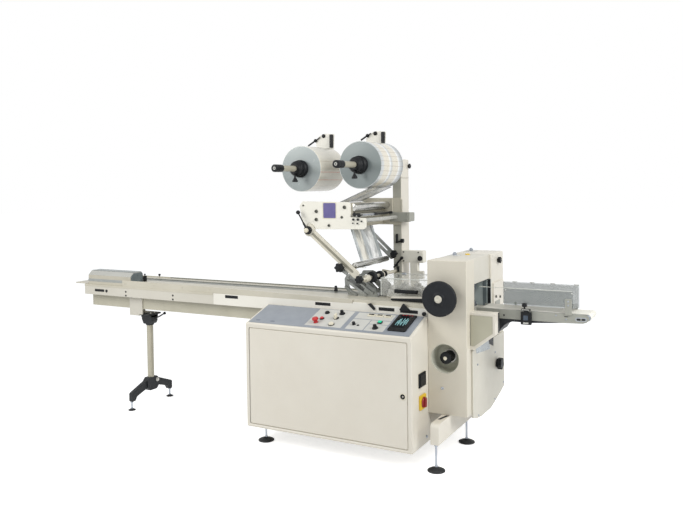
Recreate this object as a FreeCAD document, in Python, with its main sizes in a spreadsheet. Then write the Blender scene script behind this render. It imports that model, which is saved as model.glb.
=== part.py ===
import FreeCAD, Part
import os
import re
import sys
import Sketcher

# Flow wrapper: infeed conveyor on the left, film reels above, end sealing head and
# discharge belt on the right. Sizes are millimetres. X runs with the product, Y goes
# from the operator's side to the back, Z is up. Machine coordinates start at the
# cabinet's right front corner on the floor, and datum_x and datum_y move them to the
# middle of the whole machine's outline.

doc = FreeCAD.newDocument("flow_wrapper")
dims = doc.addObject("Spreadsheet::Sheet", "Dims")

sizes = {
    "datum_x": 1028.5,
    "datum_y": -487.5,
    # cabinet
    "cab_len": 1128,
    "cab_depth": 940,
    "cab_bottom": 100,
    "wall": 16,
    "desk_front": 755,
    "desk_back": 836,
    "desk_depth": 246,
    "desk_thick": 14,
    "deck_top": 804,
    "frame_side": 8,
    "frame_low": 20,
    "door_gap": 5,
    # sealing head
    "head_width": 238,
    "head_front": 244,
    "head_back": 979,
    "head_bottom": 272,
    "head_top": 1168,
    "front_box": 143,
    "rear_box": 262,
    "inset": 12,
    "tunnel_low": 846,
    "tunnel_high": 1016,
    "dish_x": 105,
    "dish_height": 600,
    "dish_radius": 82,
    "dish_depth": 100,
    "wheel_x": 98,
    "wheel_height": 955,
    "wheel_radius": 102,
    "belly_thick": 10,
    "belly_top": 645,
    # base and feet
    "beam_left": 82,
    "beam_right": 133,
    "beam_front": 60,
    "beam_back": 640,
    "beam_low": 152,
    "foot_left": 1032,
    "foot_right": 108,
    "foot_front": 72,
    "foot_back": 820,
    "foot_mid": 604,
    "pad_radius": 50,
    # product line
    "line_y": 543,
    "channel_left": 2817,
    "channel_face": 250,
    "channel_top": 880,
    "bed_top": 905,
    "bed_left": 2790,
    "rail_y": 640,
    "pan_face": 300,
    "pan_bottom": 715,
    "tongue_left": 2937,
    # discharge conveyor
    "belt_top": 877,
    "belt_near": 464,
    "belt_far": 617,
    "belt_thick": 3,
    "pulley": 20,
    "pulley_left": 262,
    "pulley_right": 860,
    "plate_thick": 6,
    "guard_left": 395,
    "guard_far_left": 338,
    "guard_right": 785,
    "guard_front": 450,
    "guard_back": 631,
    "guard_low": 881,
    "guard_front_low": 904,
    "guard_top": 1001,
    "guard_rise": 14,
    "sheet": 5,
    # infeed stand
    "stand_x": 2268,
    "stand_y": 365,
    "stand_foot": 202,
    "post_radius": 24,
    "stand_left": 2395,
    "clamp_left": 2316,
    "clamp_right": 2222,
    "shelf_top": 675,
    # column and reels
    "col_left": 466,
    "col_right": 401,
    "col_front": 800,
    "col_back": 925,
    "col_top": 1780,
    "reel_radius": 150,
    "reel_near": 380,
    "reel_far": 710,
    "left_reel_x": 932,
    "left_reel_z": 1722,
    "right_reel_x": 497,
    "right_reel_z": 1737,
    "spindle_end": 60,
    "shaft": 19,
    # film head
    "plate_near": 278,
    "plate_far": 788,
    "arm_near": 262,
    "crank_x": 812,
    "crank_z": 1327,
    "web": 3,
    "web_near": 385,
    "web_far": 705,
    # fin seal
    "cover_left": 374,
    "cover_near": 400,
    "cover_far": 660,
    "cover_top": 1029,
}

for row, (name, value) in enumerate(sizes.items(), start=1):
    dims.set(f"A{row}", name)
    dims.set(f"B{row}", str(value))
    dims.setAlias(f"B{row}", name)
doc.recompute()

WORD = re.compile(r"[a-z][a-z0-9_]*")
nodes = {}


def bound(text):
    """The expression text with each size's name pointing at its cell."""
    return WORD.sub(lambda m: f"Dims.{m.group()}" if m.group() in sizes else m.group(), str(text))


def drive(thing, prop, text):
    thing.setExpression(prop, bound(text))


def settle(thing, x="0", y="0", z="0"):
    """Put a sub-part at machine coordinates."""
    drive(thing, "Placement.Base.x", f"datum_x + ({x})")
    drive(thing, "Placement.Base.y", f"datum_y + ({y})")
    drive(thing, "Placement.Base.z", f"{z}")
    return thing


def node(name, thing):
    thing.Label = name
    nodes[name] = thing
    return thing


def block(label, x, y, z):
    """A rectangular piece between two X, two Y and two Z values."""
    box = doc.addObject("Part::Box", label)
    drive(box, "Length", f"({x[1]}) - ({x[0]})")
    drive(box, "Width", f"({y[1]}) - ({y[0]})")
    drive(box, "Height", f"({z[1]}) - ({z[0]})")
    return settle(box, x[0], y[0], z[0])


def rod(label, x, y, z, radius):
    """A round bar along Y between the two values of y."""
    bar = doc.addObject("Part::Cylinder", label)
    bar.Placement.Rotation = FreeCAD.Rotation(FreeCAD.Vector(1, 0, 0), -90)
    drive(bar, "Radius", radius)
    drive(bar, "Height", f"({y[1]}) - ({y[0]})")
    return settle(bar, x, y[0], z)


def origin_plane(body, role):
    return next(f for f in body.Origin.OriginFeatures if f.Role == role)


def draw(sketch, outline):
    """A closed outline whose corners are all held by the sheet."""
    start = sketch.GeometryCount
    count = len(outline)
    rough = [FreeCAD.Vector(10 * i, 7 * i * (count - i), 0) for i in range(count)]
    for i in range(count):
        sketch.addGeometry(Part.LineSegment(rough[i], rough[(i + 1) % count]), False)
    for i in range(count):
        sketch.addConstraint(
            Sketcher.Constraint("Coincident", start + i, 2, start + (i + 1) % count, 1)
        )
    for i, (across, up) in enumerate(outline):
        for kind, text in (("DistanceX", across), ("DistanceY", up)):
            at = sketch.addConstraint(Sketcher.Constraint(kind, -1, 1, start + i, 1, 0.0))
            sketch.setExpression(f"Constraints[{at}]", bound(text))


def sketch_on(body, role, offset="0"):
    sketch = body.newObject("Sketcher::SketchObject", body.Name + "_outline")
    sketch.AttachmentSupport = [(origin_plane(body, role), "")]
    sketch.MapMode = "FlatFace"
    drive(sketch, "AttachmentOffset.Base.z", offset)
    return sketch


PLANES = {"xz": ("XZ_Plane", True), "yz": ("YZ_Plane", False), "xy": ("XY_Plane", False)}


def plate(label, plane, outline, span, holes=()):
    """A flat piece with a drawn outline, between the two values of span."""
    role, mirrored = PLANES[plane]
    body = doc.addObject("PartDesign::Body", label)
    offset = f"0 - ({span[1]})" if mirrored else span[0]
    sketch = sketch_on(body, role, offset)
    draw(sketch, outline)
    for hole in holes:
        draw(sketch, hole)
    pad = body.newObject("PartDesign::Pad", label + "_pad")
    pad.Profile = sketch
    drive(pad, "Length", f"({span[1]}) - ({span[0]})")
    return settle(body)


def hollow(body, plane, outline, span):
    """A pocket with a drawn outline, between the two values of span."""
    role, mirrored = PLANES[plane]
    sketch = sketch_on(body, role, f"0 - ({span[0]})" if mirrored else span[1])
    draw(sketch, outline)
    pocket = body.newObject("PartDesign::Pocket", body.Name + "_pocket")
    pocket.Profile = sketch
    drive(pocket, "Length", f"({span[1]}) - ({span[0]})")
    return body


TURNS = {"z": ((1, 0, 0), 0), "y": ((1, 0, 0), -90), "x": ((0, 1, 0), 90), "desk": ((1, 0, 0), 18)}


def turned(label, axis, at, profile):
    """A turned piece: profile is a list of radius and height along its axis."""
    body = doc.addObject("PartDesign::Body", label)
    sketch = sketch_on(body, "XZ_Plane")
    draw(sketch, profile)
    spin = body.newObject("PartDesign::Revolution", label + "_spin")
    spin.Profile = sketch
    spin.ReferenceAxis = (sketch, ["V_Axis"])
    spin.Angle = 360
    vector, angle = TURNS[axis]
    body.Placement.Rotation = FreeCAD.Rotation(FreeCAD.Vector(*vector), angle)
    if axis == "desk":
        drive(body, "Placement.Rotation.Angle", "atan((desk_back - desk_front) / desk_depth)")
    return settle(body, *at)


def knob(label, axis, at, *steps):
    """A stack of round steps: each radius starts at its height, and the last ends there."""
    profile = [("0", steps[0][1])]
    for (radius, low), (_, high) in zip(steps, steps[1:]):
        profile += [(radius, low), (radius, high)]
    profile.append(("0", steps[-1][1]))
    return turned(label, axis, at, profile)


def group(name, *members):
    """Like pieces that share a node and don't touch."""
    several = doc.addObject("Part::Compound", name)
    several.Links = list(members)
    return node(name, several)


def weld(label, *members):
    """Pieces welded into one."""
    whole = doc.addObject("Part::MultiFuse", label)
    whole.Shapes = list(members)
    return whole


def joined(name, *members):
    """Pieces welded into one that has a node to itself."""
    return node(name, weld(name, *members))


def rect(low, high):
    return [(low[0], low[1]), (high[0], low[1]), (high[0], high[1]), (low[0], high[1])]


def ring(at, radius, sides=24):
    """A round opening as a many-sided outline."""
    step = 360 / sides
    return [
        (f"{at[0]} + {radius} * cos({i * step})", f"{at[1]} + {radius} * sin({i * step})")
        for i in range(sides)
    ]


# Cabinet: folded steel walls round a hollow inside, under a sloping desk.
side_outline = [
    ("0", "cab_bottom"),
    ("cab_depth", "cab_bottom"),
    ("cab_depth", "deck_top"),
    ("desk_depth", "deck_top"),
    ("desk_depth", "desk_back"),
    ("0", "desk_front"),
]
node("cabinet_left_wall", plate("CabLeft", "yz", side_outline, ("-cab_len", "wall - cab_len")))
node("cabinet_right_wall", plate("CabRight", "yz", side_outline, ("-wall", "0")))
inside_x = ("wall - cab_len", "-wall")
inside_y = ("wall", "cab_depth - wall")
node("cabinet_back_wall", block("CabBack", inside_x, ("cab_depth - wall", "cab_depth"), ("cab_bottom", "deck_top")))
group(
    "cabinet_floor_and_deck",
    block("CabFloor", inside_x, inside_y, ("cab_bottom", "cab_bottom + 12")),
    block("CabDeck", inside_x, ("desk_depth", "cab_depth - wall"), ("deck_top - 12", "deck_top")),
)
door_hole = rect(
    ("wall + frame_side - cab_len", "cab_bottom + frame_low"),
    ("-wall - frame_side", "desk_front - 27"),
)
node(
    "cabinet_front_frame",
    plate(
        "CabFrame",
        "xz",
        rect(("wall - cab_len", "cab_bottom"), ("-wall", "desk_front - desk_thick")),
        ("0", "wall"),
        [door_hole],
    ),
)
desk_outline = [
    ("0", "desk_front - desk_thick"),
    ("desk_depth", "desk_back - desk_thick"),
    ("desk_depth", "desk_back"),
    ("0", "desk_front"),
]
node("control_desk", plate("Desk", "yz", desk_outline, inside_x))

# Door: one full-width panel hinged at its left edge, with a round lock.
node(
    "cabinet_door",
    block(
        "Door",
        ("wall + frame_side + door_gap - cab_len", "-wall - frame_side - door_gap"),
        ("0", "wall"),
        ("cab_bottom + frame_low + door_gap", "desk_front - 27 - door_gap"),
    ),
)
node("door_lock", knob("Lock", "y", ("-55", "0", "421"), ("14", "-4"), ("14", "0")))


# Devices on the sloping desk: each stands square to it.
def desk_height(depth):
    return f"desk_front + (desk_back - desk_front) * ({depth}) / desk_depth"


def desk_slab(label, x, y, lift, thick):
    """A flat piece lying on the desk, its lift and thickness measured square to it."""
    square = "cos(atan((desk_back - desk_front) / desk_depth))"
    outline = [
        (y[0], f"{desk_height(y[0])} + {lift} / {square}"),
        (y[1], f"{desk_height(y[1])} + {lift} / {square}"),
        (y[1], f"{desk_height(y[1])} + {lift + thick} / {square}"),
        (y[0], f"{desk_height(y[0])} + {lift + thick} / {square}"),
    ]
    return plate(label, "yz", outline, x)


def desk_knob(label, x, y, *steps):
    return knob(label, "desk", (x, y, desk_height(y)), *steps)


node("control_panel", desk_slab("Panel", ("18 - cab_len", "-18"), ("12", "238"), 0, 3))
node("emergency_stop", desk_knob("Estop", "-655", "72", ("14", "3"), ("20", "22"), ("20", "36")))
group(
    "panel_buttons",
    desk_knob("RedButton", "-638", "118", ("13", "3"), ("13", "15")),
    desk_knob("BlackButton", "-640", "190", ("12", "3"), ("12", "13")),
    desk_knob("WhiteButton", "-542", "62", ("17", "3"), ("17", "16")),
    desk_knob("SmallButton", "-402", "86", ("9", "3"), ("9", "20")),
    desk_knob("TinyButton", "-371", "79", ("5", "3"), ("5", "12")),
    desk_knob("Selector", "-548", "136", ("13", "3"), ("13", "26")),
    desk_knob("SpeedKnob", "-537", "193", ("15", "3"), ("15", "28")),
    desk_knob("LengthKnob", "-252", "64", ("15", "3"), ("15", "28")),
)
node("start_button", desk_slab("GreenButton", ("-265", "-237"), ("115", "141"), 3, 12))
group(
    "panel_screens",
    desk_slab("DisplayA", ("-365", "-321"), ("192", "216"), 3, 6),
    desk_slab("DisplayB", ("-310", "-266"), ("192", "216"), 3, 6),
    desk_slab("DisplayC", ("-255", "-211"), ("192", "216"), 3, 6),
    desk_slab("TouchScreen", ("-170", "-60"), ("52", "232"), 3, 9),
)

# Right side wall: a socket cover and the main switch.
node("side_socket", block("Socket", ("0", "14"), ("93", "190"), ("451", "532")))
node("main_switch_plate", block("SwitchPlate", ("0", "12"), ("100", "186"), ("322", "404")))
node("main_switch_knob", knob("SwitchKnob", "x", ("0", "141", "363"), ("32", "12.5"), ("32", "34")))

# Base beam that carries the head, rounded at its front end and tied to the cabinet by a short
# cross beam, and the levelling feet.
joined(
    "base_beam",
    plate(
        "BaseBeam",
        "yz",
        [
            ("beam_front", "beam_low"),
            ("beam_back", "beam_low"),
            ("beam_back", "head_bottom"),
            ("beam_front + 26", "head_bottom"),
            ("beam_front + 13", "head_bottom - 4"),
            ("beam_front + 4", "head_bottom - 13"),
            ("beam_front", "head_bottom - 26"),
        ],
        ("beam_left", "beam_right"),
    ),
    block("BeamTie", ("0", "beam_left"), ("430", "510"), ("head_bottom - 40", "head_bottom")),
)


def foot(label, x, y, top):
    nut = f"{top} - 14"
    profile = [("0", "0"), ("pad_radius", "0"), ("pad_radius", "9"), ("18", "22"), ("8", "24")]
    profile += [("8", nut), ("15", nut), ("15", top), ("0", top)]
    return turned(label, "z", (x, y, "0"), profile)


def stand_foot(label, y):
    profile = [("0", "0"), ("27", "0"), ("27", "6"), ("9", "15"), ("6", "18"), ("6", "64"), ("0", "64")]
    return turned(label, "z", ("-stand_x", y, "0"), profile)


group(
    "levelling_feet",
    foot("FootA", "-foot_left", "foot_front", "cab_bottom"),
    foot("FootB", "-foot_left", "foot_back", "cab_bottom"),
    foot("FootC", "foot_right", "foot_front + 12", "beam_low"),
    foot("FootD", "foot_right", "foot_mid", "beam_low"),
    stand_foot("FootE", "stand_y - stand_foot"),
    stand_foot("FootF", "stand_y + stand_foot"),
)

# Sealing head: front and rear housings with the product tunnel between them.
head_x = ("0", "head_width")
front = plate(
    "HeadFront",
    "xz",
    rect(("0", "head_bottom"), ("head_width", "head_top")),
    ("head_front", "head_front + front_box"),
)
hollow(
    front,
    "xz",
    ring(("dish_x", "dish_height"), "dish_radius"),
    ("head_front", "head_front + dish_depth"),
)
node("head_front_housing", front)
node("head_rear_housing", block("HeadRear", head_x, ("head_back - rear_box", "head_back"), ("head_bottom", "head_top")))
middle_x = ("inset", "head_width - inset")
middle_y = ("head_front + front_box", "head_back - rear_box")
group(
    "head_inner_housing",
    block("HeadLower", middle_x, middle_y, ("head_bottom", "tunnel_low")),
    block("HeadUpper", middle_x, middle_y, ("tunnel_high", "head_top")),
)
group(
    "crimp_jaws",
    block("UpperJaw", ("85", "153"), ("420", "684"), ("950", "tunnel_high")),
    block("LowerJaw", ("85", "153"), ("420", "684"), ("tunnel_low", "belt_top - 4")),
)
node(
    "belly_cover",
    plate(
        "Belly",
        "yz",
        [
            ("318", "belly_top"),
            ("318", "252"),
            ("390", "232"),
            ("470", "221"),
            ("660", "220"),
            ("766", "242"),
            ("880", "270"),
            ("955", "294"),
            ("955", "belly_top"),
            ("722", "belly_top"),
            ("722", "593"),
            ("577", "belly_top"),
        ],
        ("head_width", "head_width + belly_thick"),
    ),
)

# Handwheel, dish knob and side knob.
node(
    "handwheel",
    knob(
        "Handwheel",
        "y",
        ("wheel_x", "0", "wheel_height"),
        ("26", "158"),
        ("wheel_radius", "165"),
        ("28", "195"),
        ("28", "head_front - 1"),
    ),
)
node(
    "jaw_knob",
    knob(
        "JawKnob",
        "y",
        ("dish_x - 1", "0", "dish_height"),
        ("12", "head_front + 2"),
        ("36", "head_front + 12"),
        ("28", "head_front + 36"),
        ("42", "head_front + dish_depth - 14"),
        ("42", "head_front + dish_depth - 1"),
    ),
)
node(
    "side_knob",
    knob("SideKnob", "x", ("0", "784", "472"), ("16", "head_width + belly_thick + 1"), ("36", "254"), ("36", "286")),
)

# Discharge conveyor, cantilevered from the head on a tapered box and a bracket.
node(
    "discharge_box",
    plate(
        "DischargeBox",
        "xz",
        [
            ("head_width", "868"),
            ("384", "868"),
            ("384", "748"),
            ("264", "655"),
            ("head_width", "655"),
        ],
        ("300", "386"),
    ),
)
node(
    "discharge_support",
    plate(
        "DischargeSupport",
        "xz",
        [
            ("head_width - inset", "820"),
            ("head_width - inset", "740"),
            ("363", "740"),
            ("376", "762"),
            ("393", "780"),
            ("415", "796"),
            ("441", "806"),
            ("551", "806"),
            ("729", "820"),
        ],
        ("belt_near - 9", "belt_far + 9"),
    ),
)
side_plate = [
    ("head_width - inset", "820"),
    ("729", "820"),
    ("835", "824"),
    ("856", "831"),
    ("869", "846"),
    ("868", "860"),
    ("858", "871"),
    ("846", "874"),
    ("head_width - inset", "874"),
]
near_side = ("belt_near - 3 - plate_thick", "belt_near - 3")
far_side = ("belt_far + 3", "belt_far + 3 + plate_thick")
group(
    "discharge_side_plates",
    weld(
        "NearPlateWithLug",
        plate("NearPlate", "xz", side_plate, near_side),
        block("LugNear", ("741", "778"), ("guard_front - 4", "guard_front"), ("868", "957")),
        block("LugNearFoot", ("741", "778"), ("guard_front - 4", near_side[1]), ("868", "880")),
    ),
    weld(
        "FarPlateWithLugs",
        plate("FarPlate", "xz", side_plate, far_side),
        block("LugFarA", ("741", "guard_right - sheet - 2"), far_side, ("850", "guard_low + 25")),
        block("LugFarB", ("410", "422"), far_side, ("850", "guard_low + 14")),
    ),
)


def loop(radius, sides=8):
    """The outline round the two pulleys at a distance from their centres."""
    points = []
    for centre, turn in (("pulley_right", -90), ("pulley_left", 90)):
        for i in range(sides + 1):
            angle = turn + 180 * i / sides
            points.append(
                (f"{centre} + ({radius}) * cos({angle})", f"belt_top - pulley + ({radius}) * sin({angle})")
            )
    return points


node(
    "discharge_belt",
    plate("Belt", "xz", loop("pulley"), ("belt_near", "belt_far"), [loop("pulley - belt_thick")]),
)
group(
    "discharge_bed_and_rollers",
    rod("RollerLeft", "pulley_left", ("belt_near - 2", "belt_far + 2"), "belt_top - pulley", "pulley - belt_thick - 0.5"),
    rod("RollerRight", "pulley_right", ("belt_near - 2", "belt_far + 2"), "belt_top - pulley", "pulley - belt_thick - 0.5"),
    block("BeltBed", ("285", "pulley_right - 25"), ("belt_near - 3", "belt_far + 3"), ("846", "belt_top - belt_thick")),
)
guard = plate(
    "DischargeGuard",
    "yz",
    [
        ("guard_front", "guard_front_low"),
        ("guard_front", "guard_top"),
        ("guard_back", "guard_top + guard_rise"),
        ("guard_back", "guard_low"),
    ],
    ("guard_far_left", "guard_right"),
)
hollow(
    guard,
    "xy",
    [
        ("guard_far_left - 1", "guard_front - 1"),
        ("guard_left", "guard_front - 1"),
        ("guard_far_left", "guard_back + 1"),
        ("guard_far_left - 1", "guard_back + 1"),
    ],
    ("guard_low - 1", "guard_top + guard_rise + 1"),
)
hollow(
    guard,
    "yz",
    [
        ("guard_front + sheet", "guard_low - 1"),
        ("guard_front + sheet", "guard_top - sheet"),
        ("guard_back - sheet", "guard_top + guard_rise - sheet"),
        ("guard_back - sheet", "guard_low - 1"),
    ],
    ("guard_far_left - 1", "guard_right - sheet"),
)
node("discharge_guard", guard)
joined(
    "photocell",
    block("PhotoBody", ("496", "555"), ("430", "belt_near - 9"), ("798", "870")),
    block("PhotoNeck", ("512", "536"), ("430", "guard_front - 1"), ("870", "880")),
    block("PhotoFlange", ("498", "551"), ("430", "guard_front - 1"), ("880", "888")),
    knob("PhotoKnob", "z", ("518", "434", "0"), ("5", "888"), ("14", "900"), ("14", "922")),
)

# Infeed conveyor: painted channel, box body with its lower pan, bed plates and chain.
node(
    "infeed_front_channel",
    block("Channel", ("-channel_left", "-2"), ("channel_face", "channel_face + 12"), ("deck_top", "channel_top")),
)
joined(
    "infeed_body",
    block("BodyBox", ("-bed_left", "-2"), ("channel_face + 12", "rail_y"), ("deck_top", "channel_top - 10")),
    block("BodyPan", ("-bed_left + 4", "-cab_len - 1"), ("pan_face", "rail_y - 40"), ("pan_bottom", "deck_top")),
    block("BodyRail", ("-bed_left", "-2"), ("rail_y", "rail_y + 12"), ("deck_top", "bed_top + 6")),
)
bed_z = ("channel_top - 10", "bed_top")
group(
    "infeed_bed",
    weld(
        "BedWithTongue",
        block("BedNear", ("-bed_left", "-2"), ("channel_face + 12", "line_y - 13"), bed_z),
        block(
            "Tongue",
            ("-tongue_left", "-bed_left"),
            ("channel_face + 12", "channel_face + 160"),
            ("channel_top", "channel_top + 7"),
        ),
    ),
    block("BedFar", ("-bed_left", "-2"), ("line_y + 13", "rail_y"), bed_z),
)


def pusher(label, x):
    return block(label, (x, f"{x} + 16"), ("line_y - 6", "line_y + 6"), ("bed_top - 16", "bed_top + 34"))


joined(
    "infeed_chain",
    block("Chain", ("-bed_left + 20", "-640"), ("line_y - 9", "line_y + 9"), ("channel_top - 10", "bed_top - 16")),
    pusher("Pusher", "-782"),
)
node(
    "infeed_end_cover",
    plate(
        "EndCover",
        "yz",
        [
            ("channel_face + 12", "bed_top"),
            ("channel_face + 12", "bed_top + 44"),
            ("channel_face + 20", "bed_top + 62"),
            ("channel_face + 42", "bed_top + 75"),
            ("channel_face + 116", "bed_top + 78"),
            ("channel_face + 130", "bed_top + 68"),
            ("channel_face + 130", "bed_top"),
        ],
        ("-bed_left + 4", "-2352"),
    ),
)

# Infeed stand: bracket under the pan, clamp, round post and a two-legged casting.
joined(
    "stand_bracket",
    block("BracketFace", ("-stand_left", "-2270"), ("pan_face - 10", "pan_face"), ("shelf_top", "deck_top - 4")),
    block(
        "BracketShelf",
        ("-stand_left", "-clamp_left + 14"),
        ("pan_face - 10", "stand_y + 80"),
        ("shelf_top - 10", "shelf_top"),
    ),
    block(
        "BracketRib",
        ("-stand_left", "-stand_left + 10"),
        ("pan_face - 10", "stand_y + 80"),
        ("shelf_top - 10", "pan_bottom"),
    ),
)
joined(
    "stand_clamp",
    plate(
        "Clamp",
        "xz",
        [
            ("-clamp_left", "shelf_top - 10"),
            ("-clamp_left", "622"),
            ("-clamp_left + 16", "600"),
            ("-clamp_right - 12", "600"),
            ("-clamp_right", "618"),
            ("-clamp_right", "shelf_top - 10"),
        ],
        ("stand_y - 36", "stand_y + 36"),
    ),
    block(
        "ClampPlate",
        ("-clamp_left + 14", "-clamp_right"),
        ("stand_y - 62", "stand_y + 72"),
        ("shelf_top - 10", "shelf_top + 2"),
    ),
)
post = doc.addObject("Part::Cylinder", "StandPost")
drive(post, "Radius", "post_radius")
drive(post, "Height", "600 - 198")
node("stand_post", settle(post, "-stand_x", "stand_y", "198"))
legs = [
    ("-34", "198"), ("-50", "186"), ("-stand_foot - 10", "124"), ("-stand_foot - 10", "64"),
    ("-stand_foot + 22", "64"), ("-stand_foot + 34", "92"), ("-50", "130"), ("50", "130"),
    ("stand_foot - 34", "92"), ("stand_foot - 22", "64"), ("stand_foot + 10", "64"),
    ("stand_foot + 10", "124"), ("50", "186"), ("34", "198"),
]
node(
    "stand_legs",
    plate("Legs", "yz", [(f"stand_y + ({y})", z) for y, z in legs], ("-stand_x - 26", "-stand_x + 26")),
)

# Column and the beam that carries the two film reels.
node("column", block("Column", ("-col_left", "-col_right"), ("col_front", "col_back"), ("deck_top", "col_top")))


def reel_bearing(label, x, z):
    return rod(label, x, ("reel_far + 6", "col_front + 40"), z, "30")


def reel_bracket(label, x):
    outline = [
        (f"{x}", "1760"),
        (f"{x} + 128", "1760"),
        (f"{x} + 140", "1975"),
        (f"{x} + 62", "1980"),
        (f"{x} + 16", "1964"),
        (f"{x} - 12", "1926"),
        (f"{x} - 2", "1880"),
    ]
    return plate(label, "xz", outline, ("col_front + 34", "col_front + 42"))


joined(
    "reel_beam",
    block("Beam", ("-1100", "-col_left"), ("col_front + 30", "col_front + 90"), ("1700", "1760")),
    reel_bearing("BearingLeft", "-left_reel_x", "left_reel_z"),
    reel_bearing("BearingRight", "-right_reel_x", "right_reel_z"),
    reel_bracket("ReelBracketLeft", "-1072"),
    reel_bracket("ReelBracketRight", "-668"),
)


# Reels: a wound film roll on a spindle with a chuck, a collar and an end cap.
def film_roll(label, x, z):
    profile = [("40", "reel_near"), ("reel_radius", "reel_near"), ("reel_radius", "reel_far"), ("40", "reel_far")]
    return turned(label, "y", (x, "0", z), profile)


def spindle(label, x, z):
    return knob(
        label,
        "y",
        (x, "0", z),
        ("24", "spindle_end"),
        ("shaft", "spindle_end + 82"),
        ("50", "310"),
        ("57", "368"),
        ("39.5", "reel_near"),
        ("shaft", "reel_far"),
        ("shaft", "reel_far + 5"),
    )


node("left_film_roll", film_roll("RollLeft", "-left_reel_x", "left_reel_z"))
node("left_spindle", spindle("SpindleLeft", "-left_reel_x", "left_reel_z"))
node("right_film_roll", film_roll("RollRight", "-right_reel_x", "right_reel_z"))
node("right_spindle", spindle("SpindleRight", "-right_reel_x", "right_reel_z"))

# Film head: near plate, far plate clamped to the column, rollers between them.
node(
    "film_head_near_plate",
    plate(
        "HeadPlateNear",
        "xz",
        [
            ("-863", "1511"),
            ("-886", "1484"),
            ("-868", "1364"),
            ("-846", "1343"),
            ("-785", "1332"),
            ("-423", "1338"),
            ("-411", "1350"),
            ("-411", "1406"),
            ("-517", "1414"),
            ("-519", "1500"),
            ("-532", "1505"),
        ],
        ("plate_near", "plate_near + 12"),
    ),
)
joined(
    "film_head_far_plate",
    block("HeadPlateFar", ("-690", "-col_right"), ("plate_far", "col_front"), ("1340", "1520")),
    block("ColumnClamp", ("-476", "-330"), ("plate_far - 20", "col_front"), ("1360", "1424")),
    block("HeadSheet", ("-538", "-534"), ("plate_near + 12", "plate_far"), ("1346", "1498")),
)


def guide(label, x, z, radius, end="plate_far"):
    return rod(label, x, ("plate_near + 12", end), z, radius)


group(
    "guide_rollers",
    guide("RollerUpper", "-503", "1472", "24"),
    guide("RollerLower", "-503", "1421", "14"),
    guide("RollerLeft2", "-660", "1478", "20"),
    guide("RollerMid", "-560", "1362", "18"),
    guide("TieBar", "-424", "1393", "10", "plate_far - 20"),
)


def web_sheet(label, ends):
    """A strip of film between two points seen from the operator's side."""
    (x0, z0), (x1, z1) = ends
    outline = [(x0, z0), (x1, z1), (f"{x1}", f"{z1} + web"), (f"{x0}", f"{z0} + web")]
    return plate(label, "xz", outline, ("web_near", "web_far"))


def web_drop(label, ends):
    (x0, z0), (x1, z1) = ends
    outline = [(x0, z0), (x1, z1), (f"{x1} + web", f"{z1}"), (f"{x0} + web", f"{z0}")]
    return plate(label, "xz", outline, ("web_near", "web_far"))


group(
    "film_webs",
    web_sheet("WebUpper", (("-650", "1500"), ("-431", "1592"))),
    web_drop("WebLower", (("-581", "1350"), ("-505", "1131"))),
)

# Folding arms down to the forming section, with the crank that locks the near one.
def arm(label, top, bottom, half, span):
    """A straight bar whose long edges lie half its width from the line of its ends."""
    (x0, z0), (x1, z1) = top, bottom
    length = ((x1 - x0) ** 2 + (z1 - z0) ** 2) ** 0.5
    dx = -half * (z1 - z0) / length
    dz = half * (x1 - x0) / length
    corners = [(x0 + dx, z0 + dz), (x1 + dx, z1 + dz), (x1 - dx, z1 - dz), (x0 - dx, z0 - dz)]
    return plate(label, "xz", [(f"{x:.1f}", f"{z:.1f}") for x, z in corners], span)


group(
    "folding_arms",
    weld(
        "ArmNearWithTip",
        arm("ArmNear", (-815, 1331), (-481, 1059), 25, ("arm_near", "plate_near")),
        arm("ArmTip", (-510, 1083), (-432, 1019), 15, ("arm_near + 4", "plate_near")),
    ),
    arm("ArmFar", (-690, 1335), (-452, 1121), 25, ("plate_far - 16", "plate_far")),
)
joined(
    "crank_lever",
    arm("CrankBar", (-879, 1442), (-812, 1327), 6, ("240", "252")),
    knob("CrankHub", "y", ("-crank_x", "0", "crank_z"), ("18", "228"), ("25", "240"), ("25", "arm_near - 1")),
    knob("CrankBall", "y", ("-879", "0", "1442"), ("13", "232"), ("13", "256")),
)

# Forming section: a bright roller, shaped side plates and the wheels that draw the film.
group(
    "forming_plates",
    *[
        plate(
            label,
            "xz",
            [
                ("-613", "1040"),
                ("-630", "1010"),
                ("-627", "960"),
                ("-602", "bed_top"),
                ("-392", "bed_top"),
                ("-410", "960"),
                ("-475", "1018"),
                ("-540", "1044"),
            ],
            (near, f"{near} + 5"),
        )
        for label, near in (("FormNear", "400"), ("FormFar", "630"))
    ],
)
group(
    "forming_rollers",
    rod("RollerBright", "-498", ("plate_near", "plate_far - 16"), "1110", "20"),
    knob(
        "WheelShaft",
        "y",
        ("-442", "0", "1027"),
        ("12", "plate_near"),
        ("34", "405"),
        ("12", "432"),
        ("26", "520"),
        ("12", "545"),
        ("12", "740"),
    ),
)

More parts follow.
